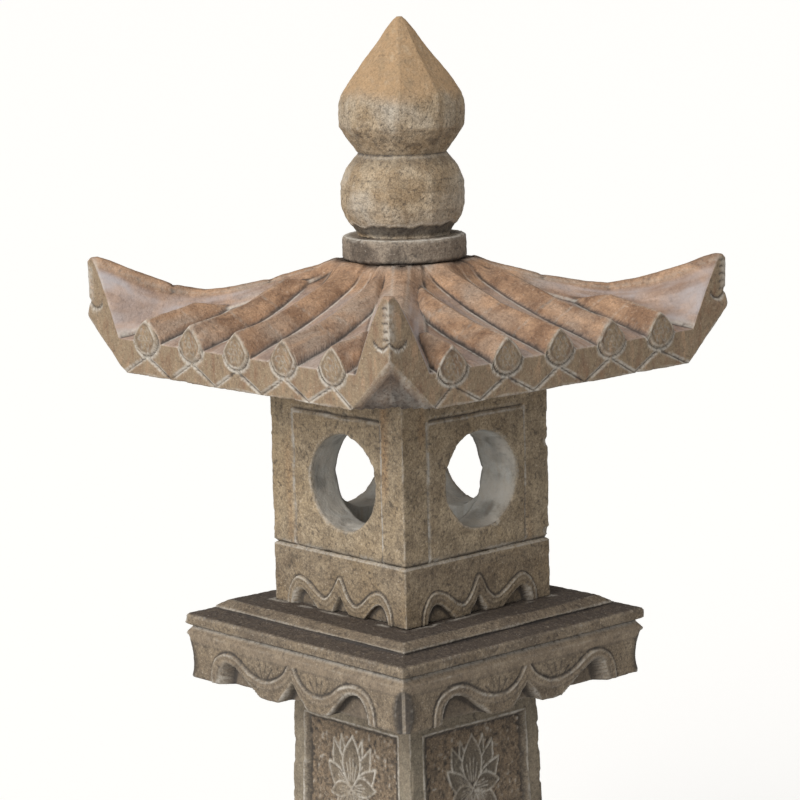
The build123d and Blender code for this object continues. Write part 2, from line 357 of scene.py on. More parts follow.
def square_rings(rows, across, relief=None, level_below=-1e9):
    """Rings of a square stone: one row of vertices round all four sides for each profile row.
    across holds the places along a side, from -1 up to 1. relief(side, x, out, z) gives how far each place
    stands proud, how far it is lifted, and its paint. Below level_below it stands proud sideways only."""
    outward = row_directions(rows)
    outward[rows[:, 1] < level_below] = (1.0, 0.0)
    half, height = rows[:, :1], rows[:, 1:]
    grids, paints = [], []
    for side in range(SIDES):
        s = across[None, :-1]
        x, z = s * half, height + 0 * s
        out = half + 0 * s
        proud, lift, paint = 0 * x, 0 * x, blank_paint(x)
        if relief is not None:
            proud, lift, paint = relief(side, x, out, z)
        out = out + proud * outward[:, :1]
        points = np.stack([s * out, -out, z + lift + proud * outward[:, 1:]], axis=-1)
        grids.append(turn(points, side))
        paints.append(paint)
    return np.concatenate(grids, axis=1), np.concatenate(paints, axis=1)


def coarse_core(stone, ring, corners, share):
    """Carries a fine ring on through hidden corners, in fewer and wider faces, and closes it."""
    across = np.linspace(-1, 1, len(ring) // SIDES // share + 1)
    points, paint = square_rings(profile_rows(corners, 12), across)
    paint[..., 1] = 0.35
    numbers = stone.add(points, paint)
    stone.join(ring, numbers[0])
    stone.skin(numbers)
    stone.cap(numbers[-1])


def key_corners(half, level, end):
    """Corners of a square peg or socket: where it starts, where it ends, and nearly the middle of its end."""
    return [(half, level), (half, end), (CORE_MIDDLE, end)]


def blank_paint(x):
    return np.zeros(x.shape + (4,))


# ---------------------------------------------------------------- aprons

# One half of an apron, as (distance from the middle, height), from its outer leg inwards: the ribbon's
# middle line, and the lower line where the ground is cut back between the hanging lobes.
WIDE_RIBBON = [(147, 0), (145.5, 18), (137, 32), (118, 39), (98, 34), (74, 21), (50, 15), (28, 19), (11, 31),
               (0, 46)]
WIDE_CUT = [(138, -9), (137, 8), (133, 21), (126, 29), (117, 31), (104, 27), (89, 17), (74, 6), (62, -3),
            (56, -9), (30, -9), (26, -6), (18, 5), (9, 15), (0, 26)]
SMALL_RIBBON = [(90, 0), (88, 16), (80, 29), (71, 33), (58, 28), (40, 15), (27, 11), (14, 20), (0, 42)]
SMALL_CUT = [(86, -7), (84, 7), (79, 17), (71, 21), (60, 16), (47, 5), (40, -3), (36, -8), (17, -8),
             (13, 2), (6, 12), (0, 22)]


def above_line(x, z, line):
    """Distance from a line that runs from the side to the middle: positive above it, negative below."""
    away = distance_to(np.abs(x), z, line)
    level = np.interp(np.abs(x), line[::-1, 0], line[::-1, 1], right=-99.0)
    return np.where(z < level, -away, away)


def apron_relief(x, z, ribbon, cut, band, proud, recess):
    """Raised ribbon along an apron, and the ground cut back below its lobes. z is measured from its foot."""
    ribbon, cut = smooth_curve(ribbon), smooth_curve(cut, 5)
    over = above_line(x, z, ribbon)
    hollow = above_line(x, z, cut)
    broken = 0.3 + 0.7 * ramp(noise(np.stack([x, 0 * x, z], axis=-1), 15, 51), -0.5, 0.4)
    relief = proud * np.where(over > 0, ramp(over, band + 0.9, band - 0.9), ramp(over, -band - 6, -band + 3))
    relief += 0.8 * bell(over - 0.72 * band, 0.24 * band) - 0.7 * bell(over + 0.15 * band, 0.3 * band)
    relief -= 0.9 * bell(over - 1.35 * band, 0.3 * band)
    relief = relief * ramp(hollow, -1.2, 0.8) - recess * ramp(hollow, 0.8, -1.6)
    paint = blank_paint(x)
    solid = ramp(hollow, -1.0, 0.5)
    # Painted highlight along the ribbon's upper side, and pale dust along the cut's edge.
    paint[..., 0] = 0.36 * bell(over - 0.7 * band, 0.22 * band) + 0.1 * bell(over + 0.85 * band, 0.24 * band)
    paint[..., 0] = (paint[..., 0] * solid + 0.35 * bell(hollow - 0.8, 1.0)) * broken
    # Painted shade: dark lines above and below the ribbon, at the foot of the cut, and over the whole
    # cut-back ground.
    paint[..., 1] = 0.75 * bell(over - 1.4 * band, 0.34 * band) + 0.35 * bell(over + 1.3 * band, 0.3 * band)
    paint[..., 1] = paint[..., 1] * solid + 0.8 * bell(hollow + 2.6, 2.0) * (hollow < 0)
    paint[..., 1] += 0.4 * (1 - solid)
    paint[..., 3] = np.maximum(0.25 * ramp(np.abs(over), band + 1, band - 1) * solid, 0.4 * (1 - solid))
    return relief, paint


def fan_of_strokes(x, z, root, angles, near, far):
    """Distance from short straight strokes that spread upwards from a root, on both halves of a side."""
    away = np.full(x.shape, 99.0)
    for angle in angles:
        way = np.array([math.sin(math.radians(angle)), math.cos(math.radians(angle))])
        away = np.minimum(away, distance_to(np.abs(x), z, [root + near * way, root + far * way]))
    return away


def worn_corner(x, out, z, low, high, width):
    """Scoop down a corner between two heights: how far the stone is cut back, and how dark it is."""
    reach = (high - low) / 2
    wide = width * np.sqrt(np.clip(1 - ((z - low - reach) / reach) ** 2, 0, 1))
    from_corner = out - np.abs(x)
    dark = ramp(from_corner, wide + 1.5, wide * 0.55) * ramp(wide, 1, 5)
    return 0.5 * np.maximum(wide * 0.6 - from_corner, 0), dark


def wobble(side, x, z, amount, seed):
    """Hand-drawn drift of a carved line, different on each side."""
    points = np.stack([x, np.full_like(x, 300.0 * side), z], axis=-1)
    return amount * noise(points, 38, seed), amount * noise(points, 31, seed + 5)


# ---------------------------------------------------------------- the stones

def build_base(material):
    """Plinth with a scalloped apron, a cove and the step that carries the shaft."""
    half, top = BASE_HALF, BASE_TOP
    step_half = 148.0
    rows = profile_rows([
        (half - 28, 0), (half - 2, 0), (half - 0.5, 2), (half, 4), (half, 62), (half - 6, 67),
        (half - 6.5, 70),
        (half - 0.5, 74), (half, 76), (half, 91), (half - 1.5, 92.5), (half - 24, 99), (step_half + 9, 108),
        (step_half + 1, 116), (step_half, 118), (step_half, top - 1.5), (step_half - 2, top),
        (SHAFT_FOOT_HALF - 8, top),
    ], 2.1)

    def relief(side, x, out, z):
        dx, dz = wobble(side, x, z, 2.0, 11)
        proud, paint = apron_relief(x + dx, z + dz, WIDE_RIBBON, WIDE_CUT, 4.6, 1.7, 13.0)
        on_face = np.clip((out - half + 28) / 24, 0, 1) * (z < 64)
        strokes = fan_of_strokes(x + dx, z + dz, np.array([50, 14]), (-62, -34, -8, 18, 46), 9, 27)
        proud = proud - 0.9 * bell(strokes, 1.3)
        cut, dark = worn_corner(x, out, z, 3, 60, 16)
        proud = proud * on_face - cut
        paint = paint * on_face[..., None]
        paint[..., 1] += 0.6 * dark
        paint[..., 2] = ramp(z, 90, 93)
        return proud, 0 * x, paint

    stone = Stone()
    points, paint = square_rings(rows, np.linspace(-1, 1, 193), relief, 46)
    numbers = stone.add(points, paint)
    stone.skin(numbers)
    coarse_core(stone, numbers[-1], key_corners(SOCKET_HALF, top, top - SOCKET_DEPTH), 8)
    coarse_core(stone, numbers[0], [(100, 0), (CORE_MIDDLE, 0)], 8)
    return place_stone("base", stone, material, 100)


def petal_line(root, tip, width, lean=0.0):
    """Closed outline of a pointed petal from its root to its tip, and its middle line."""
    root, tip = np.array(root, float), np.array(tip, float)
    along = tip - root
    across = np.array([-along[1], along[0]]) / np.linalg.norm(along)
    swell = [(0.0, 0.0), (0.12, 0.42), (0.3, 0.86), (0.5, 1.0), (0.7, 0.8), (0.87, 0.38), (1.0, 0.0)]
    sides = []
    for sign in (1, -1):
        sides.append(smooth_curve([root + along * t + across * width * (sign * w + lean * 4 * t * (1 - t))
                                   for t, w in swell], 5))
    return np.vstack([sides[0], sides[1][::-1]]), sides


def inside_outline(x, z, outline):
    """Whether each place is inside a closed outline."""
    found = np.zeros(x.shape, bool)
    for (ax, az), (bx, bz) in zip(outline, np.roll(outline, -1, axis=0)):
        if az == bz:
            continue
        crosses = (z < az) != (z < bz)
        found ^= crosses & (x < ax + (z - az) * (bx - ax) / (bz - az))
    return found


LOTUS_HEART = (-4.0, 497.0)
LOTUS_PETALS = [
    # tip from the heart, half width, sideways lean: the petals behind come first
    ((20, 66), 7, -0.4),
    ((-19, 65), 7, 0.4),
    ((36, 58), 11, -0.5),
    ((-33, 58), 11, 0.5),
    ((47, 33), 11, -0.4),
    ((-43, 30), 11, 0.4),
    ((41, -24), 9, 0.2),
    ((-24, -38), 9, 0.1),
    ((24, -40), 9, -0.1),
    ((0, -46), 9, 0.0),
    ((-38, -10), 10, -0.25),
    ((46, 5), 12, 0.25),
    ((2, 68), 17, 0.0),
]
LOTUS_STEMS = [
    [(-4, 455), (-8, 410), (2, 350), (-2, 290), (4, 230), (-1, 190)],
    [(-4, 400), (-26, 380), (-40, 350), (-44, 330)],
    [(0, 340), (22, 322), (38, 296), (42, 276)],
]
LOTUS_LEAVES = [
    ((-44, 332), (-62, 268), 20),
    ((42, 278), (60, 210), 20),
    ((-6, 300), (-46, 232), 14),
]


def lotus_relief(x, z):
    """Lotus flower, stems and leaves on a shaft panel: relief, chalk, and where a petal or leaf lies."""
    relief, chalk_and_highlight, inside = np.zeros_like(x), np.zeros_like(x), np.zeros_like(x)
    heart = np.array(LOTUS_HEART)
    shapes = [(heart, heart + np.array(tip), width, lean) for tip, width, lean in LOTUS_PETALS]
    for root, tip, width in LOTUS_LEAVES:
        shapes.append((np.array(root, float), np.array(tip, float), width, 0.0))
    for stem in LOTUS_STEMS:
        away = distance_to(x, z, smooth_curve(stem))
        relief = np.maximum(relief, 2.4 * np.sqrt(np.clip(1 - (away / 3.2) ** 2, 0, 1)))
        chalk_and_highlight = np.maximum(chalk_and_highlight, 0.6 * bell(away, 1.8))
    for root, tip, width, lean in shapes:
        outline, sides = petal_line(root, tip, width, lean)
        near = (np.abs(x - outline[:, 0].mean()) < 62) & (np.abs(z - outline[:, 1].mean()) < 62)
        if not near.any():
            continue
        px, pz = x[near], z[near]
        inner = inside_outline(px, pz, outline)
        rim = np.minimum(distance_to(px, pz, sides[0]), distance_to(px, pz, sides[1]))
        veins = np.full(px.shape, 1e9)
        across = np.array([-(tip - root)[1], (tip - root)[0]]) / np.linalg.norm(tip - root)
        for spread in (-0.55, -0.2, 0.2, 0.55):
            start = root + (tip - root) * 0.14 + across * width * spread * 0.5
            end = root + (tip - root) * (0.62 - 0.3 * abs(spread)) + across * width * spread
            veins = np.minimum(veins, distance_to(px, pz, [start, end]))
        ridge = 1.7 * bell(rim, 1.5)
        relief[near] = np.where(inner, 0.5 + ridge + 1.0 * bell(veins, 1.1), np.maximum(relief[near], ridge))
        drawn = np.maximum(0.9 * bell(rim, 1.35), 0.7 * bell(veins, 0.9) * inner)
        chalk_and_highlight[near] = np.where(inner, drawn, np.maximum(chalk_and_highlight[near], drawn))
        inside[near] = np.where(inner, 1.0, inside[near])
    return relief, chalk_and_highlight, inside


def build_shaft(material):
    """Tapered post with a sunk lotus panel on each face."""
    foot, top = BASE_TOP, SHAFT_TOP
    margin_side, margin_top, margin_foot = 24.0, 54.0, 46.0
    sunk = 4.5
    split = 474.0
    split_half = SHAFT_TOP_HALF + (SHAFT_FOOT_HALF - SHAFT_TOP_HALF) * (top - split) / (top - foot)
    upper = profile_rows([
        (split_half, split), (SHAFT_TOP_HALF, top - 1), (SHAFT_TOP_HALF - 1, top), (SHAFT_TOP_HALF - 9, top),
    ], 1.65)
    lower = profile_rows([
        (SHAFT_FOOT_HALF - 9, foot), (SHAFT_FOOT_HALF - 1, foot), (SHAFT_FOOT_HALF, foot + 1),
        (split_half, split),
    ], 3.0)
    rows = np.vstack([lower[:-1], upper])
    panel_low, panel_high = foot + margin_foot, top - margin_top

    def relief(side, x, out, z):
        dx, dz = wobble(side, x, z, 1.8, 21 + side)
        edge = out - margin_side
        inset = np.minimum(edge - np.abs(x + dx * 0.6), np.minimum(panel_high - z, z - panel_low) + dz * 0.5)
        on_face = (z > foot + 0.5) & (z < top - 0.5)
        flower, chalk_and_highlight, petal = lotus_relief(x + dx, z + dz)
        field = ramp(inset, 1, 4)
        places = np.stack([x, out + 900.0 * side, z], axis=-1)
        pits = 0.6 * noise(places, 6.0, 31) + 0.6 * noise(places, 3.4, 32)
        open_ground = field * (1 - petal) * (1 - ramp(flower, 0.2, 0.8))
        proud = -sunk * ramp(inset, -0.5, 2.5) + 1.4 * bell(inset + 2.2, 1.3) + field * flower
        proud = proud + 1.2 * open_ground * pits
        ragged = noise(places, 9.0, 34)
        proud = proud - 1.6 * ramp(out - np.abs(x), 5, 0) * ramp(ragged, 0.0, 0.8)
        paint = blank_paint(x)
        broken = 0.35 + 0.65 * ramp(noise(places, 16.0, 35), -0.5, 0.4)
        paint[..., 0] = 0.8 * bell(inset + 2.0, 0.9) * broken + 0.85 * field * chalk_and_highlight * broken
        # Painted highlight on the high points of the pitted ground, and painted shade in its low points and
        # just inside the panel's raised border.
        paint[..., 0] += 0.45 * open_ground * ramp(pits, 0.35, 0.8)
        paint[..., 1] = 0.5 * open_ground * ramp(-pits, -0.05, 0.6) + 0.5 * bell(inset - 1.5, 2.0)
        # Painted shade on the petals, stronger on the +X face than on the others.
        paint[..., 1] += (0.5 if side == 1 else 0.2) * field * petal * (1 - chalk_and_highlight)
        paint[..., 2] = open_ground
        paint[..., 3] = ramp(inset, 0, -4) * 0.4 + 0.15 * field * petal
        return np.where(on_face, proud, 0), 0 * x, paint * on_face[..., None]

    stone = Stone()
    points, paint = square_rings(rows, np.linspace(-1, 1, 145), relief)
    numbers = stone.add(points, paint)
    stone.skin(numbers)
    coarse_core(stone, numbers[-1], key_corners(PEG_HALF, top, top + LONG_PEG), 8)
    coarse_core(stone, numbers[0], key_corners(PEG_HALF, foot, foot - LONG_PEG), 8)
    return place_stone("shaft", stone, material, 200)


def build_platform(material):
    """Broad slab with a stepped, bevelled top and a scalloped apron that hangs below its joint."""
    half, top, foot = PLATFORM_HALF, PLATFORM_TOP, PLATFORM_FOOT
    joint = foot + 10.0
    rows = profile_rows([
        (half - 30, joint), (half - 30, foot + 2), (half - 28, foot), (half - 3, foot),
        (half - 1.5, foot + 2.5),
        (half - 1, foot + 20), (half - 0.5, foot + 44), (half - 0.5, foot + 56), (half - 7, foot + 64),
        (half - 7.5, foot + 65.5), (half - 1.5, foot + 67.5), (half, foot + 69), (half, foot + 78),
        (half - 1.8, foot + 80.3), (half - 6, foot + 81), (half - 24, foot + 84), (half - 30, foot + 85.5),
        (half - 29.5, foot + 87), (half - 28, foot + 88), (half - 28.5, foot + 90), (half - 40, top),
        (CHAMBER_HALF - 11, top),
    ], 1.8)
    lobes = [(0, 1), (20, 0), (27, -3), (45, -4), (60, -3), (74, 0), (200, 0)]

    def relief(side, x, out, z):
        dx, dz = wobble(side, x, z, 2.2, 41 + side)
        lift = np.interp(np.abs(x), *zip(*lobes)) * ramp(z, foot + 24, foot) * (out > half - 29)
        x_here, z_here = x + dx, z + dz + lift - foot
        proud, paint = apron_relief(x_here, z_here, WIDE_RIBBON, WIDE_CUT, 4.8, 1.7, 14.0)
        strokes = fan_of_strokes(x_here, z_here, np.array([50, 14]), (-62, -34, -8, 18, 46), 9, 27)
        on_face = np.clip((out - half + 28) / 24, 0, 1) * (z < foot + 46)
        places = turn(np.stack([x, -out, z], axis=-1), side)
        band = ramp(z, foot + 43.5, foot + 46) * (z < foot + 65)
        proud = (proud - 0.9 * bell(strokes, 1.3)) * on_face - 0.5 * bell(z - foot - 45, 1.5)
        cut, dark = worn_corner(x, out, z, foot - 4, foot + 52, 23)
        stain = ramp(layered_noise(places, 60, 47), -0.1, 0.8)
        on_top = ramp(z, foot + 79.5, foot + 81)
        bevel = ramp(z, foot + 87, foot + 88.5) * ramp(out, half - 42, half - 39)
        paint = paint * on_face[..., None]
        near_joint = bell(out - CHAMBER_HALF - 3 - 3 * noise(places, 14, 48), 3.0) * (z > top - 1)
        arris = bell(out - np.abs(x) - 1, 1.4)
        paint[..., 0] += 0.75 * near_joint * ramp(noise(places, 20, 49), -0.3, 0.4)
        # Painted highlight along the bevel's edge and along the worn corner's arris.
        paint[..., 0] += 0.4 * bell(z - foot - 88.5, 1.0)
        paint[..., 0] += 0.5 * band * ramp(z, foot + 60, foot + 64) + 0.35 * dark * arris
        # Painted shade in the incised line round the apron and in the fan of strokes.
        paint[..., 1] += dark * (1 - arris) + 0.5 * bell(z - foot - 45, 1.2)
        paint[..., 1] += 0.35 * on_face * ramp(strokes, 2.0, 0.8)
        paint[..., 2] = np.maximum(on_top * (1 - 0.75 * bevel), 0.55 * stain * ramp(z, foot + 66, foot + 69))
        paint[..., 3] = np.maximum(paint[..., 3], 0.4 * band)
        return proud - cut, lift, paint

    stone = Stone()
    points, paint = square_rings(rows, np.linspace(-1, 1, 233), relief, foot + 46)
    numbers = stone.add(points, paint)
    stone.skin(numbers)
    coarse_core(stone, numbers[-1], key_corners(SOCKET_HALF, top, top - SOCKET_DEPTH), 8)
    coarse_core(stone, numbers[0], key_corners(SOCKET_HALF, joint, joint + SOCKET_DEPTH), 8)
    dents = [((-half, -half, foot + 50), 9, 3.0), ((half, half, foot + 46), 9, 2.4),
             ((-half, -half, foot + 76), 8, 2.5)]
    return place_stone("platform", stone, material, 300, dents=dents)


def build_chamber_base(material):
    """Square block under the chamber with its own small apron."""
    half, foot, top = CHAMBER_HALF, PLATFORM_TOP, CHAMBER_FOOT
    rows = profile_rows([
        (half - 20, foot), (half - 1, foot), (half, foot + 1), (half, top - 2.5), (half - 2.5, top - 0.3),
        (half - 8, top), (BOSS_HALF + 1, top), (BOSS_HALF, top + 0.5), (BOSS_HALF, top + BOSS_HEIGHT - 1),
        (BOSS_HALF - 1, top + BOSS_HEIGHT), (BOSS_HALF - 9, top + BOSS_HEIGHT),
    ], 1.55)

    def relief(side, x, out, z):
        dx, dz = wobble(side, x, z, 2.0, 61 + side)
        proud, paint = apron_relief(x + dx, z + dz - foot, SMALL_RIBBON, SMALL_CUT, 4.0, 1.5, 7.0)
        on_face = np.clip((out - half + 20) / 18, 0, 1) * (z < top - 8)
        places = turn(np.stack([x, -out, z], axis=-1), side)
        lumps = 1.6 * noise(places, 11, 65) * ramp(paint[..., 3], 0.5, 0.9)
        paint = paint * on_face[..., None]
        paint[..., 3] *= 0.15
        # Painted highlight along the top edge of the block.
        paint[..., 0] += 0.45 * ramp(z, top - 4.0, top - 2.5) * (out > half - 5)
        paint[..., 1] += 0.5 * bell(z - foot, 3.0) * (out > half - 3)
        return (proud + lumps) * on_face, 0 * x, paint

    stone = Stone()
    points, paint = square_rings(rows, np.linspace(-1, 1, 161), relief, foot + 40)
    numbers = stone.add(points, paint)
    stone.skin(numbers)
    coarse_core(stone, numbers[-1], [(30, top + BOSS_HEIGHT), (CORE_MIDDLE, top + BOSS_HEIGHT)], 8)
    coarse_core(stone, numbers[0], key_corners(PEG_HALF, foot, foot - LONG_PEG), 8)
    return place_stone("chamber_base", stone, material, 400)


def build_light_chamber(material):
    """Hollow block with a round window through each wall. The same grid of cells serves the outside and the
    hollow, so that the cells left out for a window match, and its tunnel joins their edges."""
    half, hollow, foot, top = CHAMBER_HALF, HOLLOW_HALF, CHAMBER_FOOT, CHAMBER_TOP
    radius, centre = WINDOW_RADIUS, CHAMBER_FOOT + WINDOW_CENTRE_ABOVE_JOINT
    inner_cells, outer_cells = 80, 26
    inner_x = np.linspace(-hollow, hollow, inner_cells + 1)
    wing = np.linspace(hollow, half, outer_cells + 1)[1:]
    outer_x = np.concatenate([-wing[::-1], inner_x, wing])
    levels = np.linspace(foot, top, 121)
    panel_half, panel_top = 80.0, foot + 172.5

    def relief(side, x, out, z):
        dx, dz = wobble(side, x, z, 1.1, 81 + side)
        places = turn(np.stack([x, -out, z], axis=-1), side)
        broken = 0.3 + 0.7 * ramp(noise(places, 13, 84), -0.5, 0.35)
        upright = np.where(z < panel_top - 3, np.abs(np.abs(x + dx) - panel_half), 99.0)
        level = np.where(np.abs(x) < panel_half - 1, panel_top - z + dz, 99.0)
        joint = ramp(z, foot + 3.4, foot + 0.4)
        proud = -3.6 * joint - 1.3 * bell(upright, 1.1) - 3.0 * bell(level - 1, 1.7)
        paint = blank_paint(x)
        paint[..., 0] = 0.9 * bell(upright - 0.5, 1.1) * broken + 0.95 * bell(level - 4.2, 1.4) * broken
        # Painted shade in the top slot's groove; the V joint is a dark joint, and the wall darkens towards
        # its foot.
        paint[..., 1] = 0.9 * bell(level - 0.6, 1.5) + 0.95 * joint + 0.3 * ramp(z, foot + 16, foot + 2)
        rust = bell(np.abs(x) - panel_half - 6, 9) * ramp(noise(places * (1, 1, 0.3), 18, 85), -0.1, 0.7)
        paint[..., 2] = 0.75 * rust
        return proud, 0 * x, paint

    stone = Stone()
    outer_rows = np.stack([np.full_like(levels, half), levels], axis=1)
    hollow_rows = np.stack([np.full_like(levels, hollow), levels], axis=1)
    outer_points, outer_paint = square_rings(outer_rows, outer_x / half, relief)
    hollow_points, hollow_paint = square_rings(hollow_rows, inner_x / hollow)
    hollow_paint[..., 3] = 1.0
    hollow_paint[..., 1] = 0.3

    # cells whose middle is in the window, and the corners that they share with cells that stay
    mid_x = (inner_x[1:] + inner_x[:-1]) / 2
    mid_z = (levels[1:] + levels[:-1]) / 2
    gone = np.hypot(mid_x[None, :], mid_z[:, None] - centre) < radius
    rim = np.zeros((len(levels), inner_cells + 1), bool)
    touch_gone, touch_kept = np.zeros_like(rim), np.zeros_like(rim)
    for dr in (0, 1):
        for dc in (0, 1):
            touch_gone[dr:dr + len(mid_z), dc:dc + inner_cells] |= gone
            touch_kept[dr:dr + len(mid_z), dc:dc + inner_cells] |= ~gone
    rim = touch_gone & touch_kept
    rim_r, rim_c = np.nonzero(rim)

    def snapped(points, column_shift, columns, depth):
        """Moves the rim's vertices on every side onto the round edge of the window."""
        for side in range(SIDES):
            x = inner_x[rim_c]
            z = levels[rim_r]
            angle = np.arctan2(z - centre, x)
            apart = np.full_like(x, 200.0 * side + depth)
            places = np.stack([np.cos(angle) * 40, apart, np.sin(angle) * 40], -1)
            reach = radius + (0.7 if depth > hollow else 2.4) * noise(places, 13, 91)
            wall = np.full_like(x, -depth)
            new = np.stack([np.cos(angle) * reach, wall, centre + np.sin(angle) * reach], -1)
            points[rim_r, side * columns + rim_c + column_shift] = turn(new, side)

    def slid(points, x, column_shift, columns, shifts, reach):
        """Moves the middle of every side along it, less and less beyond the window's edge."""
        weight = ramp(np.abs(x), reach, radius + 1)
        for side in range(SIDES):
            way = turn(np.array([1.0, 0.0, 0.0]), side)
            start = side * columns + column_shift
            points[:, start:start + len(x)] += shifts[side] * weight[None, :, None] * way

    outer_columns = len(outer_x) - 1
    snapped(outer_points, outer_cells, outer_columns, half)
    snapped(hollow_points, 0, inner_cells, hollow)
    slid(outer_points, outer_x[:-1], 0, outer_columns, WINDOW_SHIFTS, 84)
    slid(hollow_points, inner_x[:-1], 0, inner_cells, HOLLOW_SHIFTS, hollow - 0.1)
    outer = stone.add(outer_points, outer_paint)
    inner = stone.add(hollow_points, hollow_paint)
    keep_outer = np.ones((len(mid_z), outer_columns * SIDES), bool)
    keep_inner = np.ones((len(mid_z), inner_cells * SIDES), bool)
    for side in range(SIDES):
        start = side * outer_columns + outer_cells
        keep_outer[:, start:start + inner_cells] &= ~gone
        keep_inner[:, side * inner_cells:(side + 1) * inner_cells] &= ~gone
    stone.skin(outer, keep_outer)
    flipped = inner[::-1]
    stone.skin(flipped, keep_inner[::-1])

    # window tunnels
    layers = 14
    for side in range(SIDES):
        outer_ids = outer[rim_r, side * outer_columns + rim_c + outer_cells]
        inner_ids = inner[rim_r, side * inner_cells + rim_c]
        ids = {}
        start = outer_points[rim_r, side * outer_columns + rim_c + outer_cells]
        end = hollow_points[rim_r, side * inner_cells + rim_c]
        share = (np.arange(1, layers) / layers)[:, None, None]
        between = start[None] * (1 - share) + end[None] * share
        hewn = 1.1 * noise(between, 12, 93) * np.sin(share[..., 0] * math.pi)
        wall = turn(np.array([0.0, -1.0, 0.0]), side)
        spoke = between - np.array([0.0, 0.0, centre])
        spoke = spoke - (spoke @ wall)[..., None] * wall
        between = between + hewn[..., None] * spoke / radius
        paint = np.zeros(between.shape[:-1] + (4,))
        paint[..., 3] = np.minimum(1.0, 0.3 + 3.0 * share[..., 0])
        paint[..., 0] = 0.8 * ramp(noise(between, 22, 95), -0.1, 0.5)
        # Painted highlight on the lower, upward-facing part of each window's tunnel.
        paint[..., 0] += 0.4 * ramp(between[..., 2], centre - 46, centre - 56)
        paint[..., 1] = 0.4 * ramp(noise(between, 12, 96), 0.1, 0.6)
        middle = stone.add(between, paint)
        chain = np.vstack([outer_ids[None], middle, inner_ids[None]])
        for index, (r, c) in enumerate(zip(rim_r, rim_c)):
            ids[(r, c)] = index
        for r, c in zip(*np.nonzero(gone)):
            edges = (
                ((r, c), (r, c + 1), r == 0 or not gone[r - 1, c]),
                ((r + 1, c + 1), (r + 1, c), r == len(mid_z) - 1 or not gone[r + 1, c]),
                ((r + 1, c), (r, c), c == 0 or not gone[r, c - 1]),
                ((r, c + 1), (r + 1, c + 1), c == inner_cells - 1 or not gone[r, c + 1]),
            )
            for a, b, is_rim in edges:
                if is_rim:
                    i, j = ids[a], ids[b]
                    strip = [chain[:-1, i], chain[:-1, j], chain[1:, j], chain[1:, i]]
                    stone.quads.append(np.stack(strip, -1))

    # flat rings at the top and bottom, from the outside to the hollow
    for row, flip in ((0, True), (-1, False)):
        for side in range(SIDES):
            out_ids = [int(outer[row, (side * outer_columns + outer_cells + i) % outer.shape[1]])
                       for i in range(inner_cells + 1)]
            in_ids = [int(inner[row, (side * inner_cells + i) % inner.shape[1]])
                      for i in range(inner_cells + 1)]
            for i in range(inner_cells):
                quad = [out_ids[i], out_ids[i + 1], in_ids[i + 1], in_ids[i]]
                stone.polygons.append(quad[::-1] if flip else quad)
            start = side * outer_columns + outer_cells + inner_cells
            corner = [int(outer[row, (start + i) % outer.shape[1]]) for i in range(2 * outer_cells + 1)]
            corner.append(int(inner[row, ((side + 1) * inner_cells) % inner.shape[1]]))
            stone.polygons.append(corner[::-1] if flip else corner)
    dents = [((18, -half + 12, centre - 57), 9, 2.6), ((-6, -half + 20, centre - 59), 7, 2.2),
             ((half, 30, centre - 54), 8, 2.0), ((half, half, foot + 6), 9, 3.0),
             ((half, half, foot + 120), 7, 2.2)]
    return place_stone("light_chamber", stone, material, 500, dents=dents)


# ---------------------------------------------------------------- roof

ROOF_FOOT = CHAMBER_TOP
ROOF_TOP = SEAT_FOOT - CHAMBER_TOP
ROOF_TOP_HALF = 62.0
ROLL_PITCH = 84.5
ROLL_HALF = 24.0
# On each side, how far the five rolls stand off the middle and how far they lean at the top. All of them
# gather by the same share towards the middle of the side as they climb.
ROLL_SHIFT = (8.0, -11.0, 4.0, -4.0)
ROLL_LEAN = (-30.0, 2.0, 8.0, -6.0)
ROLL_GATHER = 0.15
# (distance from the axis, height above the roof's underside) down the middle of a side, between the rolls
PAN_LINE = [(56, 127.5), (66, 126), (76, 120), (87, 109.5), (100, 102), (120, 93), (140, 84.5), (165, 75),
            (190, 66), (220, 57), (250, 48.5), (274, 41)]
ROLL_RISE = [(62, 7), (80, 10), (105, 14.5), (132, 18), (158, 19.5), (184, 20.5), (214, 22), (246, 25),
             (274, 29)]
# (distance from the axis along a corner, height) of the ridge over a corner, and the width of its flank
HIP_CROWN = [(60, 129), (84, 127), (104, 119), (131, 112), (166, 102), (216, 93), (245, 90), (283, 97),
             (329, 113), (360, 126), (376, 131), (384, 130), (388, 125)]
HIP_WIDTH = [(60, 16), (77, 18), (122, 21.5), (192, 25.5), (266, 29), (348, 34), (390, 36)]
# notches across each corner's ridge, and how much higher or lower its horn was left
HIP_NOTCHES = ((326,), (166,), (170, 290), (165, 284))
HORN_TRIM = (0.0, -7.0, -3.0, 2.0)
EAVE_STRAIGHT = 208.0
CORNER_LIFT = 60.0
DISC_MIDDLE = 46.5


def pan_height(out):
    """Height of the roof's plain concave slope above its underside."""
    line = smooth_curve(PAN_LINE)
    return np.interp(out, line[:, 0], line[:, 1])


def corner_of(side, x):
    """Number of the corner nearest to each place: 0 is the one towards +x and -y, then counter-clockwise."""
    return np.where(x > 0, side, (side - 1) % SIDES)


def roll_centres(side):
    return ROLL_SHIFT[side] + np.arange(-2, 3) * ROLL_PITCH


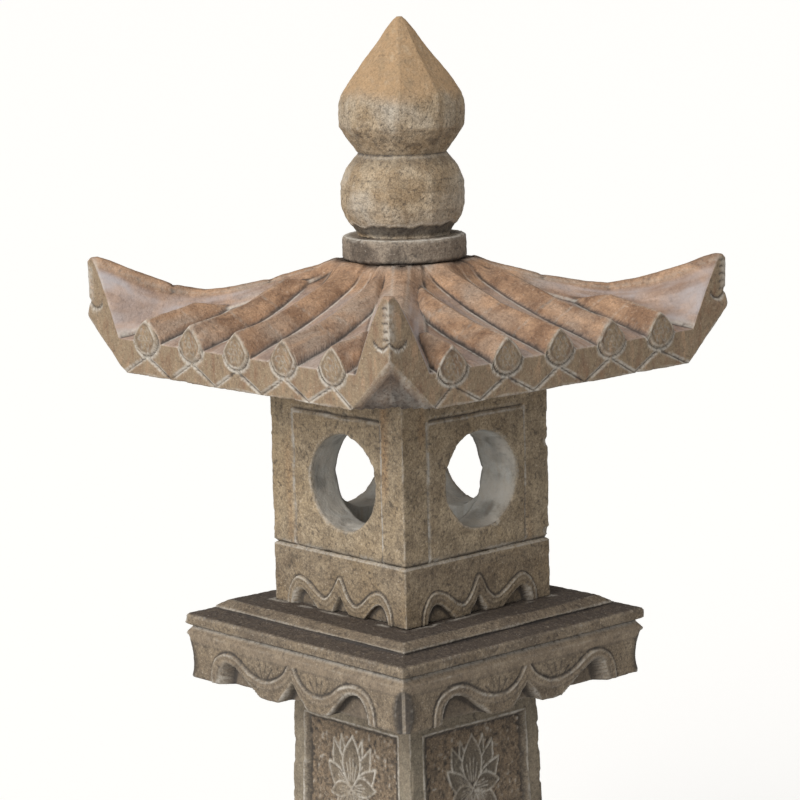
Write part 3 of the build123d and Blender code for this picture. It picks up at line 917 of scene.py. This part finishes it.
def roll_relief(side, x, out):
    """The five rolls of one side: height above the pan, chalk, grime, and where a roll lies."""
    places = np.stack([x, out, np.full_like(x, 500.0 * side)], axis=-1)
    drift = 2.2 * noise(places, 60, 111) * ramp(ROOF_HALF - out, 0, 40)
    t = np.clip((out - ROOF_TOP_HALF) / (ROOF_HALF - ROOF_TOP_HALF), 0, 1)
    rise = np.interp(out, *zip(*ROLL_RISE))
    low = ramp(t, 0.03, 0.25)
    relief, chalk_and_highlight, grime_and_shade, on_roll = (np.zeros_like(x) for _ in range(4))
    for index, centre in enumerate(roll_centres(side)):
        away = x + drift - centre * (1 - ROLL_GATHER * (1 - t)) - ROLL_LEAN[side] * (1 - t) ** 2
        half = ROLL_HALF + 1.2 * noise(places, 45, 113 + index)
        u = np.abs(away) / half
        vault = np.clip(1 - u * u, 0, 1)
        relief = np.maximum(relief, rise * (0.45 * np.sqrt(vault) + 0.55 * np.clip(1 - u, 0, 1)))
        beyond = np.abs(away) - half
        relief = relief - 2.6 * low * bell(beyond - 0.8, 1.7)
        # Painted shade, with some dirt, in the groove beside each roll, and a pale line with painted
        # highlight on its outer lip.
        grime_and_shade = np.maximum(grime_and_shade, 0.8 * bell(beyond - 0.9, 1.3) * low)
        chalk_and_highlight = np.maximum(chalk_and_highlight, bell(beyond - 3.6, 1.2) * low * ramp(noise(places, 26, 119), -0.6, 0.1))
        on_roll = np.maximum(on_roll, ramp(u, 1.03, 0.9))
        for joint in (0.44 + 0.05 * index, 0.79 - 0.06 * (index % 2)):
            crease = bell((t - joint + 0.04 * u * u) * 212, 1.2) * (u < 1)
            relief = relief - 0.7 * crease
            chalk_and_highlight = np.maximum(chalk_and_highlight, 0.3 * crease)
    return relief, chalk_and_highlight, grime_and_shade, on_roll


def roof_top(side, x, out):
    """Height of the roof's top above its underside, its paint, and the flow of its streaks."""
    places = np.stack([x, out, np.full_like(x, 500.0 * side)], axis=-1)
    pan = pan_height(out)
    rolls, chalk_and_highlight, grime_and_shade, on_roll = roll_relief(side, x, out)
    d = (out + np.abs(x)) / math.sqrt(2)
    q = np.maximum((out - np.abs(x)) / math.sqrt(2) - 5.5, 0)
    corner = corner_of(side, x)
    crown = np.interp(d, *zip(*HIP_CROWN))
    for number in range(SIDES):
        here = corner == number
        crown = crown + here * HORN_TRIM[number] * ramp(d, 250, 380)
        for notch in HIP_NOTCHES[number]:
            crown = crown - here * 3.0 * bell(d - notch, 2.2) * ramp(q, 8, 4)
    wide = np.interp(d, *zip(*HIP_WIDTH)) + 2.0 * noise(places, 60, 117)
    share = np.clip(q / wide, 0, 1)
    near_eave = ramp(out, 215, ROOF_HALF)
    flare = (1 - share) ** 1.3 * (1 - near_eave) + (1 - share ** 1.25) * near_eave
    fade = ramp(out, ROOF_TOP_HALF - 4, ROOF_TOP_HALF + 4)
    step = 2.4 * ramp(q - wide, 0.9, -0.9) * fade
    hip = pan + (crown - pan) * flare * fade + step
    on_hip = ramp(q - wide, 1.0, -1.0) * fade
    clear = 1 - on_hip
    top = np.maximum(pan + np.maximum(rolls, 0) * ramp(q - wide, -14, 2) + np.minimum(rolls, 0) * clear, hip)
    under_seat = np.hypot(x, out) < SEAT_RADIUS + 6
    top = np.where(under_seat, np.minimum(top, ROOF_TOP - 0.5), top)
    on_roll = on_roll * (top > hip + 0.2)
    crest = ramp(q, 10, 5) * fade
    along_hip = np.stack([q, 300.0 * corner, 0.1 * d], axis=-1)
    worn = (0.5 + 0.5 * ramp(noise(along_hip, 4.5, 123), -0.5, 0.3)) * (0.6 + 0.4 * ramp(d, 180, 300))
    paint = blank_paint(x)
    # Painted highlight along the edge and crest of each hip.
    rib = bell(q - wide + 0.4, 1.2) * fade * ramp(out, 84, 100)
    paint[..., 0] = chalk_and_highlight * clear + 0.75 * rib * (1 - on_roll) + 0.25 * bell(q - 4, 2.2) * fade
    # Painted shade, with some dirt, beside the rolls, on the roof under the seat's rim, and in the crease
    # beside each hip.
    paint[..., 1] = 0.95 * grime_and_shade * clear + 0.7 * ramp(out, 74, 66)
    paint[..., 1] += 0.55 * bell(q - wide - 2.4, 1.6) * fade * (1 - on_roll)
    paint[..., 3] = on_hip * (1 - crest) * ramp(d, 110, 200) * (1 - on_roll) * worn
    paint[..., 3] += 0.4 * clear * (1 - on_roll) * ramp(out, 90, 130)
    down_hill = np.stack([x, np.full_like(x, 900.0 * side), 0.12 * out], axis=-1)
    down_hip = np.stack([q + 400.0 * np.sign(x), np.full_like(x, 900.0 * side), 0.12 * d], axis=-1)
    return top, paint, np.where((on_hip > 0.5)[..., None], down_hip, down_hill)


def eave_foot(x, out):
    """Height of the roof's underside, which turns up under the corners."""
    reach = np.abs(x) + out - EAVE_STRAIGHT - ROOF_HALF
    return CORNER_LIFT * np.clip(reach / (ROOF_HALF - EAVE_STRAIGHT), 0, 1)


def rosette(x, z):
    """Small six-petalled rosette cut thinly into a flat disc: relief and chalk."""
    radius, angle = np.hypot(x, z), np.arctan2(z, x)
    reach = 5.5 + 7.5 * np.abs(np.cos(3 * angle))
    lines = np.maximum(bell(radius - reach, 1.1), bell(radius - 3.2, 0.9))
    return -0.7 * lines, 0.5 * lines


def disc_relief(u, v):
    """End disc of a roll, pointed at its top, with the crescent that cups it from below."""
    left = np.clip(1 - v / 22.5, 0.02, 1)
    upper = (np.abs(u) - 22 * left ** 0.6) / np.hypot(1, 0.59 * left ** -0.4)
    lower = (np.hypot(u / 22, v / 20.5) - 1) * 21
    edge = np.where(v > 0, np.maximum(upper, v - 22.5), lower)
    disc = ramp(edge, 0.8, -0.8)
    flower, chalk_and_highlight = rosette(u, v + 0.5)
    below = ramp(v, 2, -8)
    crescent = bell(edge - 3.4, 1.5 + 0.7 * ramp(v, -8, -20)) * below
    relief = 2.2 * disc + 0.9 * bell(edge + 2.0, 1.5) * disc + flower * disc
    relief = relief - 1.3 * bell(edge - 1.0, 1.1) + 1.3 * crescent
    # Painted highlight on the disc's raised rim; painted shade in the groove round it and in a ring inside
    # the rim.
    marks = 0.85 * crescent + chalk_and_highlight * disc + 0.45 * bell(edge + 2.0, 1.4)
    dirt_and_shade = 0.8 * bell(edge - 1.1, 1.2) + 0.45 * disc * ramp(np.hypot(u, v), 12, 17) * ramp(edge, -3, -4)
    return relief, marks, dirt_and_shade, edge


def zigzag_lines(side):
    """Carved strokes along the eave's face: up to each disc and down again."""
    centres = roll_centres(side)
    valleys = [-EAVE_STRAIGHT] + [(a + b) / 2 for a, b in zip(centres[:-1], centres[1:])] + [EAVE_STRAIGHT]
    lines = []
    for centre, before, after in zip(centres, valleys[:-1], valleys[1:]):
        lines.append([(before, 0.5), (centre + 0.5, 24.5)])
        lines.append([(centre + 3.0, 21.5), (after, 0.5)])
    return lines


def fascia_relief(side, x, z):
    """Carving on the upright face of the eave: end discs, crescents and zigzag."""
    dx, dz = wobble(side, x, z, 1.2, 131 + side)
    x, z = x + dx, z + dz * 0.6
    proud, paint = np.zeros_like(x), blank_paint(x)
    strokes = np.full(x.shape, 99.0)
    for line in zigzag_lines(side):
        strokes = np.minimum(strokes, distance_to(x, z, line))
    for centre in roll_centres(side):
        u, v = x - centre, z - DISC_MIDDLE
        near = np.hypot(u, v) < 36
        relief, marks, dirt_and_shade, edge = disc_relief(u, v)
        proud = np.where(near, proud + relief, proud)
        paint[..., 0] = np.where(near, np.maximum(paint[..., 0], marks), paint[..., 0])
        paint[..., 1] = np.where(near, np.maximum(paint[..., 1], dirt_and_shade), paint[..., 1])
        strokes = np.where(near & (edge < 2.5), 99.0, strokes)
    places = np.stack([x, z, np.full_like(x, 700.0 * side)], axis=-1)
    broken = ramp(noise(places, 24, 137), -0.7, 0.0)
    proud = proud - 2.2 * bell(strokes, 1.5)
    # Pale dust with painted highlight beside each carved stroke, and painted shade in it.
    paint[..., 0] = np.maximum(paint[..., 0], 0.9 * bell(strokes - 1.9, 1.2) * broken)
    paint[..., 1] = np.maximum(paint[..., 1], 0.75 * bell(strokes, 1.1))
    paint[..., 2] = 1.0
    return proud, paint


HORN_CUTS = (120, 112, 103, 94, 85)


def horn_relief(x, z):
    """Notches down the corner's arris, and the curved groove under them."""
    from_corner = ROOF_HALF - np.abs(x)
    cuts = sum(bell(z - height + 0.06 * from_corner, 1.2) for height in HORN_CUTS)
    cuts = np.clip(cuts, 0, 1) * ramp(from_corner, 14, 6) * ramp(from_corner, 0.4, 2.5)
    cuts = cuts * np.where(x > 0, 1, 0.35)
    smile = z - 74 - 0.045 * (from_corner - 13) ** 2
    within = ramp(from_corner, 28, 25)
    bite = -2.0 * cuts - 2.2 * bell(smile, 1.7) * within + 1.8 * bell(z - 68, 7) * ramp(from_corner, 26, 4)
    chalk_and_highlight = 0.9 * bell(smile + 2.6, 1.3) * within
    # Painted highlight on the corner between the notches; painted shade in the notches and the curved groove.
    tops = ramp(z, 80, 84) * ramp(from_corner, 13, 3) * (1 - cuts) * ramp(z, 127, 122)
    return bite, np.maximum(chalk_and_highlight, 0.55 * tops), np.maximum(0.35 * cuts, 0.9 * bell(smile, 1.6) * within)


def build_roof(material):
    """Concave tiled roof with upturned corners, keyed into the chamber by a boss."""
    columns, share = 304, 8
    across = np.linspace(-1, 1, columns + 1)
    outs = np.concatenate([np.linspace(60, 246, 62, endpoint=False), np.linspace(246, ROOF_HALF, 13)])
    levels = np.linspace(0, 1, 33)[1:]
    under = np.linspace(ROOF_HALF, 196, 10)[1:]
    rings, paints, flows = [], [], []
    for side in range(SIDES):
        s = across[None, :-1]
        out = outs[:, None] + 0 * s
        x = s * out
        top, slope_paint, slope_flow = roof_top(side, x, out)
        slope = np.stack([x, -out, ROOF_FOOT + top], axis=-1)

        edge_x = s * ROOF_HALF
        high = top[-1:]
        low = eave_foot(edge_x, ROOF_HALF)
        share_down = levels[:, None]
        z = high * (1 - share_down) + low * share_down
        x = edge_x + 0 * z
        proud, paint = fascia_relief(side, x, z)
        bite, chalk_and_highlight, dirt_and_shade = horn_relief(x, z)
        soften = ramp(share_down, 0, 0.05) * ramp(share_down, 1, 0.97)
        proud = proud * soften * ramp(ROOF_HALF - np.abs(x), 3, 12) + bite * soften
        paint[..., 0] = np.maximum(paint[..., 0], chalk_and_highlight)
        paint[..., 1] = np.maximum(paint[..., 1], dirt_and_shade)
        out = ROOF_HALF + proud
        face = np.stack([s * out, -out, ROOF_FOOT + z], axis=-1)
        face_flow = np.stack([x, np.full_like(x, 900.0 * side), 0.3 * z], axis=-1)

        out = under[:, None] + 0 * s
        x = s * out
        bottom = np.stack([x, -out, ROOF_FOOT + eave_foot(x, out)], axis=-1)
        bottom_paint = blank_paint(x)
        # The eave's underside is painted fully dark: painted shade.
        bottom_paint[..., 1] = 1.0
        rings.append(turn(np.concatenate([slope, face, bottom]), side))
        paints.append(np.concatenate([slope_paint, paint, bottom_paint]))
        flows.append(np.concatenate([slope_flow, face_flow, 0.3 * bottom]))
    stone = Stone()
    numbers = stone.add(*(np.concatenate(parts, axis=1) for parts in (rings, paints, flows)))
    stone.skin(numbers)
    socket = SMALL_PEG_HALF + KEY_GAP
    top_z = ROOF_FOOT + ROOF_TOP
    floor_z = top_z - SHORT_PEG - KEY_END_GAP
    coarse_core(stone, numbers[0], [(52, top_z)] + key_corners(socket, top_z, floor_z), share)
    coarse_core(stone, numbers[-1], [
        (190, ROOF_FOOT), (BOSS_HALF, ROOF_FOOT), (BOSS_HALF, ROOF_FOOT - BOSS_HEIGHT),
        (8, ROOF_FOOT - BOSS_HEIGHT),
    ], share)
    return place_stone("roof", stone, material, 600, rough=0.4)


# ---------------------------------------------------------------- round stones

def round_rings(rows, columns, relief=None):
    """Rings of a turned stone. relief(angle, radius, z) gives what to add to the radius, and the paint."""
    angle = (np.arange(columns) / columns * 2 * math.pi)[None, :]
    radius = rows[:, :1] + 0 * angle
    z = rows[:, 1:] + 0 * angle
    paint = blank_paint(radius)
    if relief is not None:
        more, paint = relief(angle + 0 * radius, radius, z)
        radius = radius + more
    return np.stack([radius * np.cos(angle), radius * np.sin(angle), z], axis=-1), paint


def square_core(stone, ring, half, levels):
    """Closes a round ring with a square peg or socket: one square ring at each level, then a cap."""
    count = len(ring)
    angle = np.arange(count) / count * 2 * math.pi
    reach = half / np.maximum(np.abs(np.cos(angle)), np.abs(np.sin(angle)))
    rings = [np.stack([reach * np.cos(angle), reach * np.sin(angle), np.full(count, z)], -1) for z in levels]
    grid = np.stack(rings)
    numbers = stone.add(grid)
    stone.skin(np.vstack([ring[None], numbers]))
    stone.cap(numbers[-1])


def build_finial_seat(material):
    """Flat round stone with a dark rough joint under it."""
    low, high, radius = SEAT_FOOT, SEAT_TOP, SEAT_RADIUS
    rows = profile_rows([
        (30, low), (radius - 5, low), (radius - 1.5, low + 1.5), (radius - 0.5, low + 4),
        (radius - 0.5, high - 2.5), (radius - 2.5, high), (30, high),
    ], 1.9)

    def relief(angle, radius_here, z):
        places = np.stack([np.cos(angle) * radius_here, np.sin(angle) * radius_here, z], -1)
        wave = 0.9 * noise(places, 30, 141)
        ragged = 1.6 * bell(z - low, 3.0) * noise(places, 8, 143)
        paint = blank_paint(z)
        paint[..., 1] = 0.95 * ramp(z, low + 4.5 + 2.5 * noise(places, 12, 145), low + 1.5)
        paint[..., 0] = 0.8 * ramp(radius_here, radius - 12, radius - 6) * (z > high - 0.5)
        paint[..., 2] = ramp(layered_noise(places, 34, 147), 0.0, 0.5)
        side_wall = (radius_here > radius - 8).astype(float)
        return (wave - np.abs(ragged) - 0.6) * side_wall, paint

    stone = Stone()
    points, paint = round_rings(rows, 256, relief)
    numbers = stone.add(points, paint)
    stone.skin(numbers)
    square_core(stone, numbers[0], SMALL_PEG_HALF, [low, low - SHORT_PEG])
    square_core(stone, numbers[-1], SMALL_PEG_HALF + KEY_GAP, [high, high - SHORT_PEG - KEY_END_GAP])
    return place_stone("finial_seat", stone, material, 700, rough=0.6)


FINIAL_PROFILE = [
    # radius, height above the seat
    (57, 0), (58.5, 3), (62, 9), (70, 22), (75, 35), (75.6, 50), (75.4, 64), (68, 82), (58, 94), (54, 99),
    (53.5, 100), (55, 102), (66, 118), (75, 133), (75.6, 146), (75.4, 160), (72, 171), (60, 189), (40, 215),
    (17, 247), (8, 258), (3, 262.6),
]


# heights of the thin lines scored round the lower bulb
SCORED_AT = (33, 57, 71)


def build_finial(material):
    """Double gourd, hand cut in flats, drawn up to a blunt point."""
    low = SEAT_TOP
    corners = [(24, low)] + [(radius, low + height) for radius, height in FINIAL_PROFILE]
    corners[-1] = (3, TIP - 0.4)
    rows = profile_rows(corners, 1.8)
    flats = np.array([0.15, 0.92, 1.55, 2.3, 2.95, 3.75, 4.4, 5.1, 5.75])

    def relief(angle, radius, z):
        height = z - low
        twist = angle + 0.10 * np.sin(height / 40)
        gap = np.abs((twist[..., None] - flats + math.pi) % (2 * math.pi) - math.pi).min(-1)
        facet = 0.55 + 0.55 * ramp(height, 165, 200)
        cut = radius * (1 - np.cos(0.34)) * (0.5 - (gap / 0.36) ** 2) * facet
        places = np.stack([np.cos(angle) * radius, np.sin(angle) * radius, z], -1)
        hollow = 1.0 * noise(places, 30, 151)
        band_edge = 15 + 3.2 * noise(places, 17, 153) + 1.5 * noise(places, 7, 155)
        waver = 1.2 * noise(places, 20, 159)
        scored = sum(bell(height - level + waver, 1.2) for level in SCORED_AT)
        scored = scored * ramp(noise(places, 26, 161), -0.2, 0.5)
        paint = blank_paint(z)
        paint[..., 1] = 0.9 * ramp(height, band_edge + 1.2, band_edge - 1.0) * ramp(height, 1, 6)
        # Painted shade in the waist under the upper bulb, in the scored lines, and in patches on the
        # underside of the upper bulb.
        paint[..., 1] += 0.45 * bell(height - 94, 8) + 0.35 * scored
        paint[..., 1] += 0.55 * bell(height - 118, 12) * ramp(noise(places, 5, 163), -0.1, 0.6)
        paint[..., 0] = 0.3 * bell(height - 97 + waver, 1.6) + 0.5 * bell(height - band_edge - 2.2, 1.4)
        paint[..., 0] += 0.30 * bell(height - 62, 26) * ramp(noise(places, 38, 157), 0.0, 0.5)
        paint[..., 2] = ramp(height + 8 * noise(places, 24, 165), 158, 184)
        paint[..., 3] = 0.6 * paint[..., 2]
        step = -1.6 * ramp(height, band_edge, band_edge - 2) * ramp(height, -1, 2)
        solid = ramp(radius, 6, 20)
        return (-cut + hollow) * solid + step - 0.5 * scored, paint

    stone = Stone()
    points, paint = round_rings(rows, 264, relief)
    numbers = stone.add(points, paint)
    stone.skin(numbers)
    square_core(stone, numbers[0], SMALL_PEG_HALF, [low, low - SHORT_PEG])
    stone.cap(numbers[-1])
    return place_stone("finial", stone, material, 800, rough=0.55)


# ---------------------------------------------------------------- materials

class Nodes:
    """Short way to build a material's nodes."""

    def __init__(self, name):
        self.material = bpy.data.materials.new(name)
        self.material.use_nodes = True
        self.tree = self.material.node_tree
        self.shader = self.tree.nodes["Principled BSDF"]
        self.place = self.tree.nodes.new("ShaderNodeTexCoord").outputs["Object"]

    def link(self, value, socket):
        """Puts a number, a colour or another node's output into a socket."""
        if isinstance(value, (int, float)):
            socket.default_value = value
        elif isinstance(value, tuple):
            socket.default_value = value + (1.0,)
        else:
            self.tree.links.new(value, socket)

    def flow(self):
        node = self.tree.nodes.new("ShaderNodeAttribute")
        node.attribute_name = "flow"
        return node.outputs["Vector"]

    def paint(self, name):
        node = self.tree.nodes.new("ShaderNodeAttribute")
        node.attribute_name = name
        return node.outputs["Fac"]

    def noise(self, size_mm, detail=3.0, rough=0.55, place=None, warp=0.0, output="Fac"):
        node = self.tree.nodes.new("ShaderNodeTexNoise")
        node.inputs["Scale"].default_value = 1 / (size_mm * MM)
        node.inputs["Detail"].default_value = detail
        node.inputs["Roughness"].default_value = rough
        node.inputs["Distortion"].default_value = warp
        self.tree.links.new(place or self.place, node.inputs["Vector"])
        return node.outputs[output]

    def jostled(self, size_mm, amount_mm):
        """Places shifted by noise, so that cells drawn from them look broken rather than grown."""
        shift = self.tree.nodes.new("ShaderNodeVectorMath")
        shift.operation = "MULTIPLY_ADD"
        self.tree.links.new(self.noise(size_mm, 2.0, output="Color"), shift.inputs[0])
        shift.inputs[1].default_value = (amount_mm * MM,) * 3
        self.tree.links.new(self.place, shift.inputs[2])
        return shift.outputs["Vector"]

    def cells(self, size_mm, place):
        node = self.tree.nodes.new("ShaderNodeTexVoronoi")
        node.inputs["Scale"].default_value = 1 / (size_mm * MM)
        self.tree.links.new(place, node.inputs["Vector"])
        return node.outputs["Distance"]

    def spread(self, value, low, high, start=0.0, end=1.0):
        node = self.tree.nodes.new("ShaderNodeMapRange")
        node.inputs["From Min"].default_value = low
        node.inputs["From Max"].default_value = high
        node.inputs["To Min"].default_value = start
        node.inputs["To Max"].default_value = end
        self.tree.links.new(value, node.inputs["Value"])
        return node.outputs["Result"]

    def maths(self, operation, a, b):
        node = self.tree.nodes.new("ShaderNodeMath")
        node.operation = operation
        self.link(a, node.inputs[0])
        self.link(b, node.inputs[1])
        return node.outputs["Value"]

    def times(self, a, b):
        return self.maths("MULTIPLY", a, b)

    def mix(self, share, a, b):
        node = self.tree.nodes.new("ShaderNodeMix")
        node.data_type = "RGBA"
        sockets = {socket.identifier: socket for socket in node.inputs}
        self.link(share, sockets["Factor_Float"])
        self.link(a, sockets["A_Color"])
        self.link(b, sockets["B_Color"])
        return {socket.identifier: socket for socket in node.outputs}["Result_Color"]

    def bump(self, height, depth_mm, before=None):
        node = self.tree.nodes.new("ShaderNodeBump")
        node.inputs["Strength"].default_value = 1.0
        node.inputs["Distance"].default_value = depth_mm * MM
        self.tree.links.new(height, node.inputs["Height"])
        if before is not None:
            self.tree.links.new(before, node.inputs["Normal"])
        return node.outputs["Normal"]


# Pale colour for dust and painted highlight; dark colour for pits, dirt and painted shade.
CHALK_AND_HIGHLIGHT = (0.66, 0.62, 0.56)
GRIME_AND_SHADE = (0.052, 0.047, 0.045)


def stone_material(name, light, dark, stain, other, polished, speckle=0.6, grain_mm=2.2, bump_mm=0.6,
                   streaky=1.0):
    """Tooled stone: two mottled tones with a stain, a second tone by zone, a third, smoother one where it is
    polished, dark pits and light grains, dirt and painted shade in the hollows, and pale dust and painted
    highlight on worn lines and edges."""
    n = Nodes(name)
    grain = n.noise(grain_mm, 3.0, 0.7)
    pits = n.cells(grain_mm * 1.9, n.jostled(grain_mm * 1.5, grain_mm * 2.2))
    blotch = n.noise(11, 3.0, 0.65, warp=0.8)
    mottle = n.noise(30, 4.0, 0.62, warp=0.5)
    patches = n.noise(95, 3.0, 0.55, warp=0.6)
    streaks = n.noise(13, 3.0, 0.6, n.flow())
    smooth = n.paint("smooth")
    coarse = n.spread(smooth, 0.0, 1.0, 1.0, 0.22)

    colour = n.mix(n.spread(mottle, 0.36, 0.64), light, dark)
    colour = n.mix(n.spread(patches, 0.46, 0.66, 0.0, 0.8), colour, stain)
    zone = n.times(n.paint("zone"), n.spread(blotch, 0.28, 0.5, 0.65, 1.0))
    colour = n.mix(zone, colour, other)
    colour = n.mix(n.times(smooth, n.spread(mottle, 0.25, 0.55, 0.65, 1.0)), colour, polished)
    colour = n.mix(n.spread(streaks, 0.5, 0.72, 0.0, 0.45 * streaky), colour, dark)
    colour = n.mix(n.spread(streaks, 0.44, 0.26, 0.0, 0.35 * streaky), colour, light)
    shade = n.spread(n.maths("ADD", grain, n.times(blotch, 0.5)), 0.62, 0.88, 1.0, 0.0)
    colour = n.mix(n.times(n.times(shade, coarse), speckle * 0.8), colour, GRIME_AND_SHADE)
    colour = n.mix(n.times(n.times(n.spread(pits, 0.62, 0.95), coarse), speckle), colour, GRIME_AND_SHADE)
    lights = n.times(n.spread(grain, 0.54, 0.68), n.spread(pits, 0.5, 0.2))
    colour = n.mix(n.times(n.times(lights, coarse), 0.42), colour, CHALK_AND_HIGHLIGHT)
    # Dark colour from the second paint number: dirt and painted shade in hollows, grooves and under
    # overhangs.
    dirt_and_shade = n.times(n.paint("grime_and_shade"), n.spread(streaks, 0.25, 0.6, 0.7, 1.0))
    colour = n.mix(n.times(dirt_and_shade, 0.9), colour, GRIME_AND_SHADE)
    # Pale colour from the first paint number: dust on worn lines and painted highlight on edges.
    dust = n.times(n.paint("chalk_and_highlight"), n.spread(n.noise(5, 3.0), 0.34, 0.52, 0.3, 1.0))
    colour = n.mix(n.times(dust, 0.9), colour, CHALK_AND_HIGHLIGHT)
    n.link(colour, n.shader.inputs["Base Color"])
    n.link(n.spread(mottle, 0.3, 0.7, 0.78, 0.95), n.shader.inputs["Roughness"])
    n.shader.inputs["Specular IOR Level"].default_value = 0.25

    normal = n.bump(n.times(grain, coarse), bump_mm)
    normal = n.bump(n.times(n.spread(pits, 0.5, 0.95, 1.0, 0.0), coarse), bump_mm * 0.8, normal)
    normal = n.bump(blotch, 1.2, normal)
    n.link(normal, n.shader.inputs["Normal"])
    return n.material


# ---------------------------------------------------------------- the lantern

body_stone = stone_material(
    "body_stone", light=(0.56, 0.445, 0.305), dark=(0.335, 0.26, 0.175), stain=(0.48, 0.36, 0.225),
    other=(0.50, 0.31, 0.165), polished=(0.68, 0.68, 0.65))
block_stone = stone_material(
    "block_stone", light=(0.43, 0.34, 0.235), dark=(0.25, 0.19, 0.13), stain=(0.37, 0.275, 0.17),
    other=(0.40, 0.25, 0.14), polished=(0.235, 0.225, 0.21))
shaft_stone = stone_material(
    "shaft_stone", light=(0.38, 0.305, 0.22), dark=(0.25, 0.195, 0.14), stain=(0.32, 0.275, 0.205),
    other=(0.29, 0.215, 0.145), polished=(0.30, 0.27, 0.21), speckle=0.65)
dark_stone = stone_material(
    "dark_stone", light=(0.37, 0.295, 0.21), dark=(0.22, 0.17, 0.12), stain=(0.31, 0.24, 0.165),
    other=(0.105, 0.082, 0.068), polished=(0.32, 0.255, 0.195))
roof_stone = stone_material(
    "roof_stone", light=(0.60, 0.375, 0.235), dark=(0.29, 0.17, 0.105), stain=(0.51, 0.40, 0.32),
    other=(0.36, 0.27, 0.18), polished=(0.50, 0.455, 0.46), speckle=0.35, grain_mm=2.0, bump_mm=0.45,
    streaky=1.7)
seat_stone = stone_material(
    "seat_stone", light=(0.43, 0.355, 0.28), dark=(0.29, 0.235, 0.185), stain=(0.37, 0.31, 0.25),
    other=(0.15, 0.12, 0.095), polished=(0.36, 0.34, 0.32))
finial_stone = stone_material(
    "finial_stone", light=(0.66, 0.53, 0.375), dark=(0.42, 0.305, 0.19), stain=(0.63, 0.58, 0.50),
    other=(0.52, 0.34, 0.19), polished=(0.50, 0.34, 0.20), speckle=0.6, grain_mm=1.8, streaky=1.4)

build_base(dark_stone)
build_shaft(shaft_stone)
build_platform(dark_stone)
build_chamber_base(block_stone)
build_light_chamber(body_stone)
build_roof(roof_stone)
build_finial_seat(seat_stone)
build_finial(finial_stone)


# ---------------------------------------------------------------- floor, light and camera

def plain_material(name, colour, rough, glow):
    material = bpy.data.materials.new(name)
    material.use_nodes = True
    shader = material.node_tree.nodes["Principled BSDF"]
    shader.inputs["Base Color"].default_value = colour + (1.0,)
    shader.inputs["Roughness"].default_value = rough
    shader.inputs["Emission Color"].default_value = (1.0, 1.0, 1.0, 1.0)
    shader.inputs["Emission Strength"].default_value = glow
    return material


floor_mesh = bpy.data.meshes.new("floor")
REACH = 60.0
floor_corners = [(-REACH, -REACH, 0), (REACH, -REACH, 0), (REACH, REACH, 0), (-REACH, REACH, 0)]
floor_mesh.from_pydata(floor_corners, [], [(0, 1, 2, 3)])
floor = bpy.data.objects.new("floor", floor_mesh)
floor_mesh.materials.append(plain_material("floor", (0.9, 0.9, 0.9), 0.9, glow=0.3))
floor.visible_diffuse = False
bpy.context.scene.collection.objects.link(floor)

world = bpy.data.worlds.new("studio")
bpy.context.scene.world = world
world.use_nodes = True
world.node_tree.nodes["Background"].inputs["Color"].default_value = (1.0, 0.985, 0.955, 1.0)
world.node_tree.nodes["Background"].inputs["Strength"].default_value = 0.42
bpy.context.scene.view_settings.view_transform = "Standard"

key_data = bpy.data.lights.new("key", "SUN")
key_data.energy = 2.6
key_data.angle = math.radians(55)
key_data.color = (1.0, 0.98, 0.94)
key = bpy.data.objects.new("key", key_data)
key.rotation_mode = "QUATERNION"
key.rotation_quaternion = Vector((-0.10, 1.0, -0.52)).to_track_quat("-Z", "Y")
bpy.context.scene.collection.objects.link(key)

# The camera stands at eye height in front of one corner, and looks slightly down.
CAMERA_PLACE = Vector((2.772, -2.5094, 1.6063))
HEADING, PITCH, ROLL = math.radians(48.0), math.radians(9.69), math.radians(1.38)
level_way = Vector((-math.sin(HEADING), math.cos(HEADING), 0))
forward = level_way * math.cos(PITCH) - Vector((0, 0, math.sin(PITCH)))
right = forward.cross(Vector((0, 0, 1))).normalized()
up = right.cross(forward)
rolled_right = math.cos(ROLL) * right - math.sin(ROLL) * up
rolled_up = math.sin(ROLL) * right + math.cos(ROLL) * up
camera_data = bpy.data.cameras.new("camera")
camera_data.sensor_width = 36.0
camera_data.lens = 139.5
camera_data.clip_end = 200
camera = bpy.data.objects.new("camera", camera_data)
camera.matrix_world = Matrix((
    (rolled_right.x, rolled_up.x, -forward.x, CAMERA_PLACE.x),
    (rolled_right.y, rolled_up.y, -forward.y, CAMERA_PLACE.y),
    (rolled_right.z, rolled_up.z, -forward.z, CAMERA_PLACE.z),
    (0, 0, 0, 1),
))
bpy.context.scene.collection.objects.link(camera)
bpy.context.scene.camera = camera
